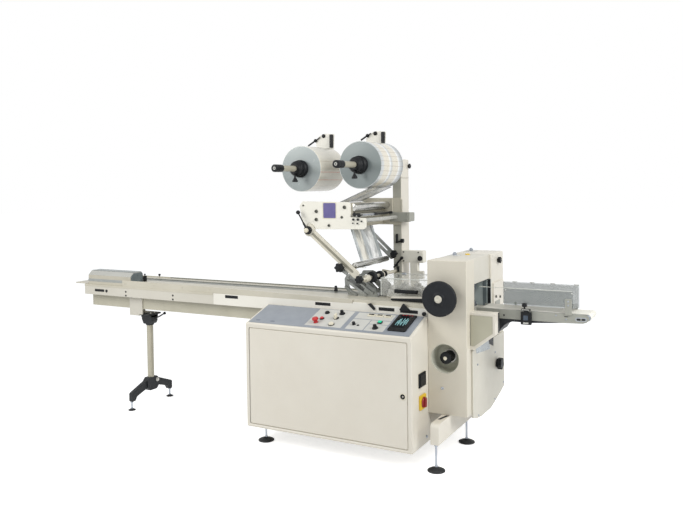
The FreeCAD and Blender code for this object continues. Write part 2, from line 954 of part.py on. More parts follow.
# Fin seal unit under a clear lift-up cover with a bridge handle.
group(
    "fin_seal_unit",
    block("FinUnitNear", ("-345", "-25"), ("425", "500"), ("bed_top", "985")),
    block("FinUnitFar", ("-345", "-25"), ("586", "rail_y"), ("bed_top", "985")),
)
cover = plate(
    "FinCover",
    "xz",
    rect(("-cover_left", "bed_top + 12"), ("-10", "cover_top")),
    ("cover_near", "cover_far"),
)
hollow(
    cover,
    "xz",
    rect(("sheet - cover_left", "bed_top"), ("-10 - sheet", "cover_top - sheet")),
    ("cover_near + sheet", "cover_far + 1"),
)
hollow(
    cover,
    "yz",
    rect(("500", "bed_top"), ("586", "985")),
    ("-cover_left - 1", "-9"),
)
joined(
    "fin_seal_cover",
    cover,
    knob("CoverHinge", "x", ("0", "cover_far + 2", "cover_top - 4"), ("7", "-cover_left"), ("7", "inset - 1")),
)
node(
    "cover_handle",
    plate(
        "CoverHandle",
        "xy",
        [
            ("-270", "cover_near"),
            ("-270", "cover_near - 28"),
            ("-120", "cover_near - 28"),
            ("-120", "cover_near"),
            ("-136", "cover_near"),
            ("-136", "cover_near - 15"),
            ("-254", "cover_near - 15"),
            ("-254", "cover_near"),
        ],
        ("942", "964"),
    ),
)

# Side box on the column, on a short post from the deck.
joined(
    "column_side_box",
    block("SideBox", ("-col_right", "-250"), ("col_front", "col_front + 60"), ("1085", "1166")),
    block("SidePost", ("-345", "-292"), ("col_front", "col_front + 40"), ("deck_top", "1085")),
    block("SideLug", ("-292", "-252"), ("col_front", "col_front + 30"), ("979", "1031")),
    knob("SideBoxKnob", "y", ("-268", "0", "1116"), ("14", "col_front - 18"), ("14", "col_front")),
)

doc.recompute()
faults = [o.Name for o in doc.Objects if "Invalid" in o.State or "Error" in o.State]
for name, thing in nodes.items():
    if thing.Shape.isNull() or not thing.Shape.isValid() or not thing.Shape.Solids:
        faults.append(name)
if faults:
    sys.exit("not sound: " + ", ".join(faults))

os.makedirs("parts", exist_ok=True)
for name, thing in nodes.items():
    thing.Shape.exportStep(os.path.join("parts", name + ".step"))
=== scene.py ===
import math

import bmesh
import bpy
from mathutils import Matrix, Vector


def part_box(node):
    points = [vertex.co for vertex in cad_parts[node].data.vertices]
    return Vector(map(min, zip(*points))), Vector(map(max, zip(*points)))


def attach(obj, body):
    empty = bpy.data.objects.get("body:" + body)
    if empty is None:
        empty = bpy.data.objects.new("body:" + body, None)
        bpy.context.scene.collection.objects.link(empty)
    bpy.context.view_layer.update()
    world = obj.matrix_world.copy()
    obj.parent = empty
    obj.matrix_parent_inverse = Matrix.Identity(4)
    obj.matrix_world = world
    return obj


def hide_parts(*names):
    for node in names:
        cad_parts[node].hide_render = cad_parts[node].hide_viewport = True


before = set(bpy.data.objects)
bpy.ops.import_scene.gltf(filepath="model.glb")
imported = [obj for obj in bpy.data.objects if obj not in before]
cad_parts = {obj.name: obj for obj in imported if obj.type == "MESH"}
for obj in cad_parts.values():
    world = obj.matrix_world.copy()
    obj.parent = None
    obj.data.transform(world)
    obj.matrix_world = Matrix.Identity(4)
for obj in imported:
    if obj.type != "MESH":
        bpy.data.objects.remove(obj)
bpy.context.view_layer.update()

# The photographer stood off the machine's right front corner with a lens held almost level.
# Place, turn, tilt and roll were fitted to the machine's long edges in the photograph.
# Every size below is in millimetres from the cabinet's right front corner on the floor, and the
# lens's own sizes are in pixels of the photograph.
side_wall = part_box("cabinet_right_wall")
corner = Vector((side_wall[1].x, side_wall[0].y, 0))
shop = Matrix.Translation(corner) @ Matrix.Scale(0.001, 4)
photo_width = 683
focal_length = 740
sideways, downward = 7.6, -49.7
eye = Vector((1615.5, -3778.5, 1611.9))
turn, tilt, roll = (math.radians(a) for a in (29, 1.6, -0.8))
ahead = Vector((-math.sin(turn) * math.cos(tilt), math.cos(turn) * math.cos(tilt), -math.sin(tilt)))
level = Vector((math.cos(turn), math.sin(turn), 0))
across = level * math.cos(roll) + level.cross(ahead) * math.sin(roll)
upward = level.cross(ahead) * math.cos(roll) - level * math.sin(roll)
lens = bpy.data.cameras.new("camera")
camera = bpy.data.objects.new("camera", lens)
bpy.context.scene.collection.objects.link(camera)
camera.matrix_world = Matrix.Translation(shop @ eye) @ Matrix(
    (across, upward, -ahead)
).transposed().to_4x4()
lens.sensor_width = 36
lens.lens = focal_length * lens.sensor_width / photo_width
lens.shift_x = sideways / photo_width
lens.shift_y = downward / photo_width
bpy.context.scene.camera = camera
bpy.context.scene.view_settings.view_transform = "Standard"


# The machine stands in a pale studio: a soft sky all round, one large lamp over the operator's
# left shoulder and a stronger one past the discharge end. The backdrop is white to the eye, to
# metal and through glass, and the floor keeps the machine's shadow.
class Wire:
    """A number, colour or shader that runs between nodes. A sum on it adds its Math node."""

    def __init__(self, tree, socket=None):
        self.tree = tree
        self.socket = socket

    def node(self, kind, settings=None, sockets=None, out=0):
        """A new node: its settings come first, then its sockets' values or wires."""
        made = self.tree.nodes.new(kind)
        for name, value in (settings or {}).items():
            if name == "stops":
                ramp = made.color_ramp
                for stop, (place, tone) in enumerate(value):
                    point = ramp.elements[stop] if stop < 2 else ramp.elements.new(place)
                    point.position = place
                    point.color = tone
            else:
                setattr(made, name, value)
        for name, value in (sockets or {}).items():
            if isinstance(value, Wire):
                self.tree.links.new(value.socket, made.inputs[name])
            else:
                made.inputs[name].default_value = value
        return Wire(self.tree, made.outputs[out]) if made.outputs else None

    def maths(self, operation, first, second):
        return self.node("ShaderNodeMath", {"operation": operation}, {0: first, 1: second})

    def blend(self, share, first, second, **settings):
        """A colour that lies a share of the way from the first to the second."""
        return self.node(
            "ShaderNodeMix", {"data_type": "RGBA", **settings}, {0: share, 6: first, 7: second}, 2
        )

    def stretch(self, value, low, high, least=0.0, most=1.0):
        """A value from low to high, spread out from least to most and held there."""
        sockets = {"Value": value, "From Min": low, "From Max": high, "To Min": least, "To Max": most}
        return self.node("ShaderNodeMapRange", {}, sockets)

    def noise(self, where, scale, detail, **sockets):
        """Soft clouds over the surface."""
        return self.node(
            "ShaderNodeTexNoise", {}, {"Vector": where, "Scale": scale, "Detail": detail, **sockets}
        )

    def surface(self, sockets):
        """The shader that the material shows, from its sockets' values or wires."""
        look = self.node("ShaderNodeBsdfPrincipled", {}, sockets)
        self.node("ShaderNodeOutputMaterial", {}, {"Surface": look})

    def __add__(self, other):
        return self.maths("ADD", self, other)

    def __mul__(self, other):
        return self.maths("MULTIPLY", self, other)

    __radd__ = __add__
    __rmul__ = __mul__


def ink(*printed):
    """A printed colour, 0 to 255, as a shader takes it."""
    return *(((c / 255 + 0.055) / 1.055) ** 2.4 if c > 10 else c / 3294 for c in printed), 1


def blank(name):
    """A material without nodes, and a wire in its tree."""
    made = bpy.data.materials.new(name)
    made.use_nodes = True
    made.node_tree.nodes.clear()
    return made, Wire(made.node_tree)


def seen_rays(start):
    """One where the eye, a gloss or a clear sheet looks, and nought where light falls."""
    seen = start.node("ShaderNodeLightPath", out="Is Camera Ray")
    seen = seen + start.node("ShaderNodeLightPath", out="Is Glossy Ray")
    return seen + start.node("ShaderNodeLightPath", out="Is Transmission Ray")


world = bpy.data.worlds.new("studio")
bpy.context.scene.world = world
world.use_nodes = True
world.node_tree.nodes.clear()
start = Wire(world.node_tree)
sky = start.node("ShaderNodeBackground", {}, {"Color": ink(240, 243, 246), "Strength": 0.55})
paper = start.node("ShaderNodeBackground", {}, {"Color": (1, 1, 1, 1), "Strength": 1.0})
shown = start.node("ShaderNodeMixShader", {}, {0: seen_rays(start), 1: sky, 2: paper})
start.node("ShaderNodeOutputWorld", {}, {"Surface": shown})


def lamp(name, place, aim, size, power, tone):
    """A soft square lamp that looks at a point on the machine."""
    light = bpy.data.lights.new(name, "AREA")
    light.size = size
    light.energy = power
    light.color = tone
    made = bpy.data.objects.new(name, light)
    bpy.context.scene.collection.objects.link(made)
    made.location = shop @ Vector(place)
    made.rotation_euler = (shop @ Vector(aim) - made.location).to_track_quat("-Z", "Y").to_euler()


lamp("lamp_over_operator", (-2700, -2200, 2900), (-900, 200, 500), 2.2, 72, (1, 0.985, 0.958))
lamp("lamp_at_discharge", (3000, -500, 3200), (0, 400, 1000), 2.2, 106, (1, 0.995, 0.98))

floor_mesh = bmesh.new()
bmesh.ops.create_grid(floor_mesh, x_segments=1, y_segments=1, size=40)
floor_data = bpy.data.meshes.new("studio_floor")
floor_mesh.to_mesh(floor_data)
floor_mesh.free()
studio_floor = bpy.data.objects.new("studio_floor", floor_data)
bpy.context.scene.collection.objects.link(studio_floor)
floor_finish, start = blank("studio_floor")
matt = start.node("ShaderNodeBsdfDiffuse", {}, {"Color": (0.86, 0.86, 0.86, 1)})
glow = start.node("ShaderNodeEmission", {}, {"Color": (1, 1, 1, 1), "Strength": seen_rays(start) * 0.62})
shown = start.node("ShaderNodeAddShader", {}, {0: matt, 1: glow})
start.node("ShaderNodeOutputMaterial", {}, {"Surface": shown})
floor_data.materials.append(floor_finish)


# Cabinet: a welded box of folded 2 mm steel with a sloping desk, powder coated cream after
# welding, so its corners are soft and its seams are filled. One door hangs on its left edge in an
# opening with a folded rim.
def rounded(points, steps=4):
    """An outline whose corners (across, up, radius) are turned into arcs."""
    outline = []
    count = len(points)
    for i, (a, b, radius) in enumerate(points):
        here = Vector((a, b))
        back = Vector(points[i - 1][:2]) - here
        forward = Vector(points[(i + 1) % count][:2]) - here
        if not radius:
            outline.append((a, b))
            continue
        half = back.angle(forward) / 2
        reach = radius / math.tan(half)
        centre = here + (back.normalized() + forward.normalized()).normalized() * (radius / math.sin(half))
        first = here + back.normalized() * reach - centre
        last = here + forward.normalized() * reach - centre
        sweep = first.angle_signed(last)
        for k in range(steps + 1):
            spoke = first.copy()
            spoke.rotate(Matrix.Rotation(-sweep * k / steps, 2))
            outline.append(tuple(centre + spoke))
    return outline


def oblong(low, high, radius, steps=4):
    """A rectangle with round corners, between its lowest and highest corner."""
    return rounded(
        [
            (low[0], low[1], radius), (high[0], low[1], radius), (high[0], high[1], radius),
            (low[0], high[1], radius),
        ],
        steps,
    )


def circle(across_at, up_at, radius, sides=32):
    return [
        (
            across_at + radius * math.cos(math.tau * i / sides),
            up_at + radius * math.sin(math.tau * i / sides),
        )
        for i in range(sides)
    ]


class Work:
    """A piece worked up from plates, turned parts and pipes."""

    LAY = {
        "xz": lambda a, b, c: (a, c, b),
        "yz": lambda a, b, c: (c, a, b),
        "xy": lambda a, b, c: (a, b, c),
    }

    def __init__(self):
        self.mesh = bmesh.new()

    def keep(self, part, place=None, edge=0, steps=2):
        """Rounds a part's sharp edges, puts the part in place and adds it to the piece."""
        bmesh.ops.recalc_face_normals(part, faces=part.faces)
        if edge:
            sharp = [e for e in part.edges if e.is_manifold and e.calc_face_angle(0) > 0.6]
            bmesh.ops.bevel(
                part,
                geom=sharp,
                offset=edge,
                segments=steps,
                profile=0.5,
                affect="EDGES",
                clamp_overlap=True,
            )
        data = bpy.data.meshes.new("part")
        part.to_mesh(data)
        part.free()
        if place:
            data.transform(place)
        self.mesh.from_mesh(data)
        bpy.data.meshes.remove(data)
        return self

    def plate(self, outline, span, lay="xz", edge=1.0, steps=2, holes=(), place=None):
        """A flat part with a drawn outline and holes, between the two values of span."""
        part = bmesh.new()
        rims = []
        for line in (outline, *holes):
            points = [part.verts.new(self.LAY[lay](a, b, span[0])) for a, b in line]
            rims += [part.edges.new((points[i - 1], points[i])) for i in range(len(points))]
        if holes:
            bmesh.ops.triangle_fill(part, edges=rims, use_beauty=True, use_dissolve=False)
        else:
            part.faces.new(points)
        raised = bmesh.ops.extrude_face_region(part, geom=part.faces[:])["geom"]
        shift = Vector(self.LAY[lay](0, 0, span[1] - span[0]))
        bmesh.ops.translate(part, vec=shift, verts=[v for v in raised if isinstance(v, bmesh.types.BMVert)])
        return self.keep(part, place, edge, steps)

    def block(self, x, y, z, edge=1.0, steps=2, place=None):
        return self.plate(
            [(x[0], y[0]), (x[1], y[0]), (x[1], y[1]), (x[0], y[1])], z, "xy", edge, steps, (), place
        )

    def turned(self, axis, at, profile, sides=40, edge=0.0, steps=2, ring=False):
        """A lathe part: radius and height along its axis, and a third number makes that step many-sided."""
        part = bmesh.new()
        rows = []
        for radius, height, *flats in profile:
            row = []
            for i in range(sides):
                angle = math.tau * i / sides
                reach = radius
                if flats:
                    wedge = math.tau / flats[0]
                    reach *= math.cos(wedge / 2) / math.cos(angle % wedge - wedge / 2)
                row.append(part.verts.new((reach * math.cos(angle), reach * math.sin(angle), height)))
            rows.append(row)
        for low, high in zip(rows, rows[1:] + ([rows[0]] if ring else [])):
            for i in range(sides):
                part.faces.new((low[i - 1], low[i], high[i], high[i - 1]))
        if not ring:
            part.faces.new(rows[0])
            part.faces.new(rows[-1])
        spin = Vector((0, 0, 1)).rotation_difference(Vector(axis)).to_matrix().to_4x4()
        return self.keep(part, Matrix.Translation(at) @ spin, edge, steps)

    def bar(self, start_at, end_at, radius, sides=20, edge=0.5):
        """A round bar from point to point."""
        run = Vector(end_at) - Vector(start_at)
        return self.turned(run, start_at, [(radius, 0), (radius, run.length)], sides, edge)

    def pipe(self, points, radius, bend=20, sides=10):
        """A round bar bent through points, with an arc at each bend."""
        line = bpy.data.curves.new("pipe", "CURVE")
        line.dimensions = "3D"
        line.bevel_depth = radius
        line.bevel_resolution = sides // 4
        line.use_fill_caps = True
        line.resolution_u = 5
        path = [Vector(p) for p in points]
        stops = [path[0]]
        for before, here, after in zip(path, path[1:], path[2:]):
            reach = min(bend, (before - here).length * 0.45, (after - here).length * 0.45)
            stops += [
                here + (before - here).normalized() * reach,
                here,
                here + (after - here).normalized() * reach,
            ]
        stops.append(path[-1])
        run = line.splines.new("BEZIER")
        kept = [stops[0], *[p for i, p in enumerate(stops[1:-1]) if i % 3 != 1], stops[-1]]
        run.bezier_points.add(len(kept) - 1)
        for point, place in zip(run.bezier_points, kept):
            point.co = place
            point.handle_left_type = point.handle_right_type = "VECTOR"
        for i, corner_at in enumerate(path[1:-1]):
            first, last = run.bezier_points[1 + 2 * i], run.bezier_points[2 + 2 * i]
            first.handle_right_type = last.handle_left_type = "FREE"
            first.handle_right = first.co.lerp(corner_at, 0.6)
            last.handle_left = last.co.lerp(corner_at, 0.6)
        holder = bpy.data.objects.new("pipe", line)
        bpy.context.scene.collection.objects.link(holder)
        bent = bpy.data.meshes.new_from_object(holder.evaluated_get(bpy.context.evaluated_depsgraph_get()))
        self.mesh.from_mesh(bent)
        bpy.data.objects.remove(holder)
        bpy.data.curves.remove(line)
        bpy.data.meshes.remove(bent)
        return self

    def piece(self, name, body, slot, finish, *stands_for, cutters=()):
        """Sets the piece down on its body, in its finish and in place of its plain nodes."""
        self.mesh.transform(shop)
        data = bpy.data.meshes.new(name)
        self.mesh.to_mesh(data)
        self.mesh.free()
        made = bpy.data.objects.new(name, data)
        bpy.context.scene.collection.objects.link(made)
        if cutters:
            for tool in cutters:
                tool.mesh.transform(shop)
                blade = bpy.data.meshes.new("blade")
                tool.mesh.to_mesh(blade)
                tool.mesh.free()
                shape = bpy.data.objects.new("blade", blade)
                bpy.context.scene.collection.objects.link(shape)
                cut = made.modifiers.new("cut", "BOOLEAN")
                cut.object = shape
                cut.operation = "DIFFERENCE"
                cut.solver = "EXACT"
            done = bpy.data.meshes.new_from_object(
                made.evaluated_get(bpy.context.evaluated_depsgraph_get())
            )
            for cut in list(made.modifiers):
                shape = cut.object
                made.modifiers.remove(cut)
                bpy.data.objects.remove(shape)
            made.data = done
            done.name = name
        made.data.materials.clear()
        made.data.materials.append(finish)
        made.data.shade_smooth()
        shading = made.modifiers.new("even_shading", "WEIGHTED_NORMAL")
        shading.weight = 80
        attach(made, body)
        if stands_for:
            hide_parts(*stands_for)
        return made


def coating(name, tone, shade, rough=(0.35, 0.5), mottle=5.0, grain=420.0, relief=0.06, **surface):
    """Paint or plastic: two close tones in soft clouds, uneven gloss and a raised grain."""
    made, start = blank(name)
    where = start.node("ShaderNodeTexCoord", out="Object")
    share = start.stretch(start.noise(where, mottle, 5.0, Roughness=0.62), 0.36, 0.66)
    speck = start.noise(where, grain, 2.0)
    colour = start.blend(share * 0.75 + speck * 0.25, tone, shade)
    smear = start.noise(where, mottle * 4.3, 4.0)
    dull = start.stretch(smear * 0.7 + speck * 0.3, 0.3, 0.7, *rough)
    bumps = start.node("ShaderNodeBump", {}, {"Strength": relief, "Distance": 0.001, "Height": speck})
    start.surface({"Base Color": colour, "Roughness": dull, "Normal": bumps, **surface})
    return made


def dress(finish, *names, edge=1.2, steps=2):
    """Gives nodes that keep their own shape a finish and rounded edges."""
    for name in names:
        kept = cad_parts[name]
        for place in kept.material_slots:
            place.material = finish
        kept.data.shade_smooth()
        kept.modifiers.new("join", "WELD").merge_threshold = 0.00002
        flat = kept.modifiers.new("flatten", "DECIMATE")
        flat.decimate_type = "DISSOLVE"
        flat.angle_limit = math.radians(1)
        if edge:
            rim = kept.modifiers.new("rim", "BEVEL")
            rim.width = edge / 1000
            rim.segments = steps
            rim.limit_method = "ANGLE"
            rim.angle_limit = math.radians(35)
        kept.modifiers.new("even_shading", "WEIGHTED_NORMAL").weight = 80


cream_paint = coating("cream_paint", ink(222, 217, 205), ink(216, 210, 197), (0.34, 0.5), mottle=2.2)

shell = Work().plate(
    [(0, 100), (940, 100), (940, 804), (246, 804), (246, 836), (0, 755)], (-1128, 0), "yz", edge=7, steps=4
)
inside = Work().plate(
    [(16, 112), (924, 112), (924, 792), (232, 792), (232, 817), (16, 746)], (-1112, -16), "yz", edge=0
)
opening = Work().plate(oblong((-1104, 120), (-24, 728), 10), (-30, 40), edge=0)
shell.piece(
    "cabinet_shell",
    "machine",
    "cream_paint",
    cream_paint,
    "cabinet_left_wall",
    "cabinet_right_wall",
    "cabinet_back_wall",
    "cabinet_floor_and_deck",
    "cabinet_front_frame",
    "control_desk",
    cutters=(inside, opening),
)
Work().plate(oblong((-1099, 125), (-29, 723), 7), (0, 16), edge=2.4, steps=3).piece(
    "cabinet_door_panel", "cabinet_door", "cream_paint", cream_paint, "cabinet_door"
)
seal_rubber = coating("pale_seal", ink(214, 208, 190), ink(202, 196, 178), (0.5, 0.7), mottle=30)
Work().plate(
    oblong((-1099.5, 122), (-26, 726), 8), (3.5, 8), edge=0.5, holes=[oblong((-1096, 128), (-32, 720), 5)]
).piece("door_edge_seal", "cabinet_door", "cream_paint", seal_rubber)

# Door lock: a black cam lock with a slot for a square key, on a pale washer.
black_plastic = coating(
    "black_plastic", ink(14, 16, 18), ink(22, 24, 27), (0.38, 0.55), mottle=14, grain=900, relief=0.12,
    **{"Specular IOR Level": 0.25},
)
white_plastic = coating(
    "white_plastic", ink(226, 220, 200), ink(214, 207, 186), (0.25, 0.4), mottle=20, grain=900, relief=0.05
)
to_front = (0, -1, 0)
lock_at = (-55, 0, 421)
Work().turned(to_front, lock_at, [(19, -2), (19, 2.4), (14.4, 2.4), (14.4, -2)], 48, 0.6, ring=True).piece(
    "lock_washer", "cabinet_door", "cream_paint", white_plastic
)
Work().turned(
    to_front, lock_at, [(14, -3), (14, 4), (9, 4), (7, 2.2, 4), (6, -1, 4)], 48, 0.5
).piece("lock_barrel", "cabinet_door", "black_plastic", black_plastic, "door_lock")


# Control desk: an anodised plate with printed light fields, screwed on the desk. Each device is
# let in from above and held by a nut below, and stands square to the slope.
desk_turn = math.atan2(836 - 755, 246)
desk = Matrix.Translation((0, 0, 755)) @ Matrix.Rotation(desk_turn, 4, "X")
desk_up = desk.to_3x3() @ Vector((0, 0, 1))


def on_desk(x, y):
    return desk @ Vector((x, y / math.cos(desk_turn), 0))


def desk_rim(x, y, radius=3):
    """A round-cornered field on the desk, from its sizes in plan."""
    near, far = (d / math.cos(desk_turn) for d in y)
    return oblong((x[0], near), (x[1], far), radius)


panel_grey = coating(
    "panel_grey", ink(145, 151, 159), ink(135, 141, 150), (0.3, 0.42), mottle=9, grain=1500, relief=0.04
)
dress(panel_grey, "control_panel", edge=0.6)
label_grey = coating(
    "label_grey", ink(204, 203, 197), ink(194, 194, 189), (0.35, 0.5), mottle=9, grain=1500, relief=0.03
)
fields = Work()
for x, y in (
    ((-714, -466), (33, 233)), ((-436, -320), (32, 150)), ((-314, -190), (32, 104)),
    ((-436, -190), (156, 228)), ((-314, -190), (109, 150)),
):
    fields.plate(desk_rim(x, y), (2.9, 3.6), "xy", 0.2, place=desk)
fields.piece("panel_fields", "machine", "panel_grey", label_grey)
badges = Work()
for x in (-1057, -949):
    ovals = [(x + 17 * across, 43 + 7 * up) for across, up in circle(0, 0, 1, 24)]
    badges.plate(ovals, (2.9, 3.8), "xy", 0.3, place=desk)
badges.piece(
    "panel_badges", "machine", "panel_grey", coating("badge_grey", ink(118, 124, 134), ink(108, 115, 126))
)

# Push buttons, selector and two pointer knobs: moulded caps in black bezels.
red_plastic = coating(
    "red_plastic", ink(196, 36, 38), ink(178, 28, 32), (0.22, 0.35), mottle=20, grain=900, relief=0.05
)
Work().turned(
    desk_up,
    on_desk(-655, 72),
    [(15, 3), (14, 8), (12, 10), (12, 21), (18.5, 22.5), (20, 25), (20, 30), (17.5, 34), (11, 36)],
).piece("emergency_stop_cap", "machine", "red_plastic", red_plastic, "emergency_stop")
bezels = Work()
for x, y, radius, height in (
    (-638, 118, 15, 9), (-640, 190, 16, 8), (-542, 62, 19, 7), (-548, 136, 17, 8), (-402, 86, 12, 6),
    (-371, 79, 8, 7),
):
    bezels.turned(
        desk_up, on_desk(x, y), [(radius, 3), (radius, height - 2), (radius - 1.5, height)], 32, 0.3
    )
for x, y in ((-537, 193), (-252, 64)):
    bezels.turned(
        desk_up, on_desk(x, y), [(18, 3), (18, 8), (16, 10), (12, 12), (10, 27), (7.5, 29)], 32, 0.4
    )
bezels.turned(desk_up, on_desk(-640, 190), [(13, 7), (13, 12), (11, 14)], 32, 0.4)
bezels.turned(desk_up, on_desk(-402, 86), [(6, 5), (6, 11), (10, 13), (11, 17), (8, 21)], 32, 0.4)
bezels.plate(desk_rim((-265, -237), (115, 141), 3), (3, 9), "xy", 0.8, place=desk)
bezels.piece("button_bezels", "machine", "black_plastic", black_plastic, "panel_buttons")
Work().turned(desk_up, on_desk(-638, 118), [(11, 8), (11, 14), (9, 15.5)], 32, 0.4).piece(
    "stop_button", "machine", "red_plastic", red_plastic
)
Work().turned(desk_up, on_desk(-542, 62), [(16, 6), (16.4, 13), (14, 16), (8, 17)], 32, 0.5).piece(
    "white_button", "machine", "cream_paint", white_plastic
)
selector = Work().plate(oblong((-554, 124), (-543, 156), 5), (7, 34), "xy", 1.6, place=desk)
selector.piece("selector_lever", "machine", "cream_paint", white_plastic)
# The green lens glows faintly: a painted highlight on the button.
green_lens_glow, start = blank("green_lens_glow")
where = start.node("ShaderNodeTexCoord", out="Object")
cells = start.node("ShaderNodeTexVoronoi", {}, {"Vector": where, "Scale": 420.0})
colour = start.blend(cells, ink(20, 178, 132), ink(60, 206, 165))
bumps = start.node("ShaderNodeBump", {}, {"Strength": 0.3, "Distance": 0.001, "Height": cells})
start.surface(
    {
        "Base Color": colour,
        "Roughness": 0.2,
        "Normal": bumps,
        "Emission Color": colour,
        "Emission Strength": 0.25,
    }
)
Work().plate(desk_rim((-261, -241), (119, 137), 2), (8, 15.5), "xy", 1.5, place=desk).piece(
    "start_button_lens", "machine", "green_plastic", green_lens_glow, "start_button"
)

# Three counters in pale frames, and the operator's screen in a black frame with round corners.
counters = Work()
windows = Work()
for x in (-365, -310, -255):
    counters.plate(desk_rim((x, x + 44), (190, 217), 2), (3, 8), "xy", 0.8, place=desk)
    windows.plate(desk_rim((x + 5, x + 39), (202, 214), 1), (7.6, 8.6), "xy", 0.3, place=desk)
counters.piece("counter_frames", "machine", "cream_paint", white_plastic, "panel_screens")
screen_frame = Work().plate(desk_rim((-172, -58), (50, 234), 9), (3, 10), "xy", 1.6, 3, place=desk)
screen_frame.piece("screen_frame", "machine", "black_plastic", black_plastic)
glass = coating(
    "dark_glass",
    ink(14, 19, 23),
    ink(22, 29, 34),
    (0.1, 0.2),
    mottle=16,
    relief=0.01,
    **{"Specular IOR Level": 0.25},
)
windows.piece("counter_windows", "machine", "screen", glass)
Work().plate(desk_rim((-160, -70), (84, 214), 3), (9.6, 10.8), "xy", 0.4, place=desk).piece(
    "screen_glass", "machine", "screen", glass
)
lit, start = blank("screen_marks")
where = start.node("ShaderNodeTexCoord", out="Object")
rows = start.node("ShaderNodeTexWave", {"bands_direction": "Y"}, {"Vector": where, "Scale": 300.0}, "Fac")
colour = start.blend(rows, ink(70, 160, 170), ink(190, 230, 230))
start.surface({"Base Color": colour, "Roughness": 0.3, "Emission Color": colour, "Emission Strength": 0.35})
marks = Work()
for x, low, high in (
    (-146, 108, 158), (-139, 128, 176), (-132, 104, 186), (-122, 120, 150), (-115, 108, 188),
    (-105, 132, 172), (-98, 106, 190), (-88, 120, 176),
):
    marks.plate(desk_rim((x, x + 3), (low, high), 0.8), (10.7, 11.2), "xy", 0, place=desk)
marks.piece("screen_marks", "machine", "screen", lit)
lamps = Work()
for x in (-146, -126, -106, -88):
    lamps.plate(desk_rim((x, x + 9), (220, 227), 1), (9.8, 11), "xy", 0.3, place=desk)
lamps.piece("screen_keys", "machine", "red_plastic", red_plastic)

# Right side wall: a black power socket under a flap, and the isolator, a dark red rotary handle on a
# yellow plate. The bolt low on the wall holds the base beam.
to_right = (1, 0, 0)
Work().block((-0.5, 1.5), (89, 194), (447, 536), 0.6).piece(
    "socket_gasket", "machine", "cream_paint", white_plastic
)
socket = Work().block((0, 9), (93, 190), (451, 532), 2.5)
socket.plate(oblong((102, 460), (181, 523), 5), (8, 13.6), "yz", 1.5)
socket.bar((11, 104, 523), (11, 179, 523), 2.6)
for y, z in ((97, 455), (186, 455), (97, 528), (186, 528)):
    socket.turned(to_right, (8, y, z), [(3, 0), (3, 2.4), (1.6, 2.4), (1.4, 1.2)], 16, 0.2)
socket.piece("socket_flap", "machine", "black_plastic", black_plastic, "side_socket")
yellow_plastic = coating(
    "yellow_plastic", ink(226, 190, 36), ink(214, 176, 26), (0.3, 0.42), mottle=16, grain=900, relief=0.05
)
plate_face = Work().plate(oblong((100, 322), (186, 404), 6), (0, 12), "yz", 2.2, 3)
plate_face.piece("switch_plate", "machine", "yellow_plastic", yellow_plastic, "main_switch_plate")
dark_red = coating(
    "dark_red", ink(146, 34, 34), ink(122, 24, 27), (0.3, 0.42), mottle=20, grain=900, relief=0.05
)
handle = Work().turned(to_right, (0, 141, 363), [(31, 12.5), (31, 17), (28, 20)], 48, 0.5)
handle.plate(rounded([(131, 336, 6), (151, 336, 6), (151, 390, 6), (131, 390, 6)]), (19, 31), "yz", 3, 3)
handle.piece("switch_handle", "main_switch_knob", "red_plastic", dark_red, "main_switch_knob")

# Steel for bolts and levelling gear: zinc plated, a little blue, dulled by handling.
zinc = coating(
    "zinc",
    ink(176, 182, 190),
    ink(150, 156, 166),
    (0.25, 0.45),
    mottle=30,
    grain=1400,
    relief=0.08,
    Metallic=0.85,
)
Work().turned(
    to_right, (-1, 210, 142), [(9, 0), (9, 3), (7.5, 3, 6), (7.5, 8, 6), (6, 9, 6)], 24, 0.3
).piece("beam_bolt", "machine", "steel", zinc)
dress(cream_paint, "base_beam", edge=4, steps=3)
# A black strip on the beam's top paints the shade under the head.
Work().plate([(92, 152), (108, 152), (130, 240), (112, 240)], (271.4, 272.8), "xy", 0.3).piece(
    "beam_shade_strip", "machine", "black_metal", black_plastic
)

# Levelling feet: a threaded rod with a lock nut under the frame, and a moulded black pad.
upright = (0, 0, 1)
black_rubber = coating(
    "black_rubber", ink(20, 22, 24), ink(30, 32, 34), (0.55, 0.75), mottle=22, grain=700, relief=0.2
)
pads, rods = Work(), Work()


def thread(radius, low, high, pitch):
    """The outline of a coarse screw thread between two heights."""
    count = max(1, int((high - low) / pitch))
    step = (high - low) / count
    profile = []
    for i in range(count):
        profile += [(radius * 0.9, low + i * step), (radius, low + (i + 0.5) * step)]
    return profile + [(radius * 0.9, high)]


def foot(x, y, top, pad, stem):
    pads.turned(
        upright,
        (x, y, 0),
        [
            (pad * 0.9, 0), (pad, 2), (pad, pad * 0.15), (pad * 0.82, pad * 0.25),
            (stem * 2.1, pad * 0.42), (stem * 1.7, pad * 0.5),
        ],
        48,
    )
    rods.turned(upright, (x, y, 0), thread(stem, pad * 0.44, top, 4 if stem > 7 else 2.5), 20)
    nut = stem * 1.9
    rods.turned(
        upright,
        (x, y, top - nut * 0.95),
        [(nut * 0.8, 0, 6), (nut, nut * 0.1, 6), (nut, nut * 0.8, 6), (nut * 0.8, nut * 0.92, 6)],
        24,
    )
    rods.turned(upright, (x, y, pad * 0.5), [(stem * 1.5, 0, 6), (stem * 1.5, stem * 0.9, 6)], 24, 0.4)


for x, y, top in ((-1032, 72, 100), (-1032, 820, 100), (108, 84, 152), (108, 604, 152)):
    foot(x, y, top, 50, 6.5)
for y in (163, 567):
    foot(-2268, y, 64, 27, 6)
pads.piece("foot_pads", "machine", "black_plastic", black_rubber, "levelling_feet")
rods.piece("foot_rods", "machine", "steel", zinc)
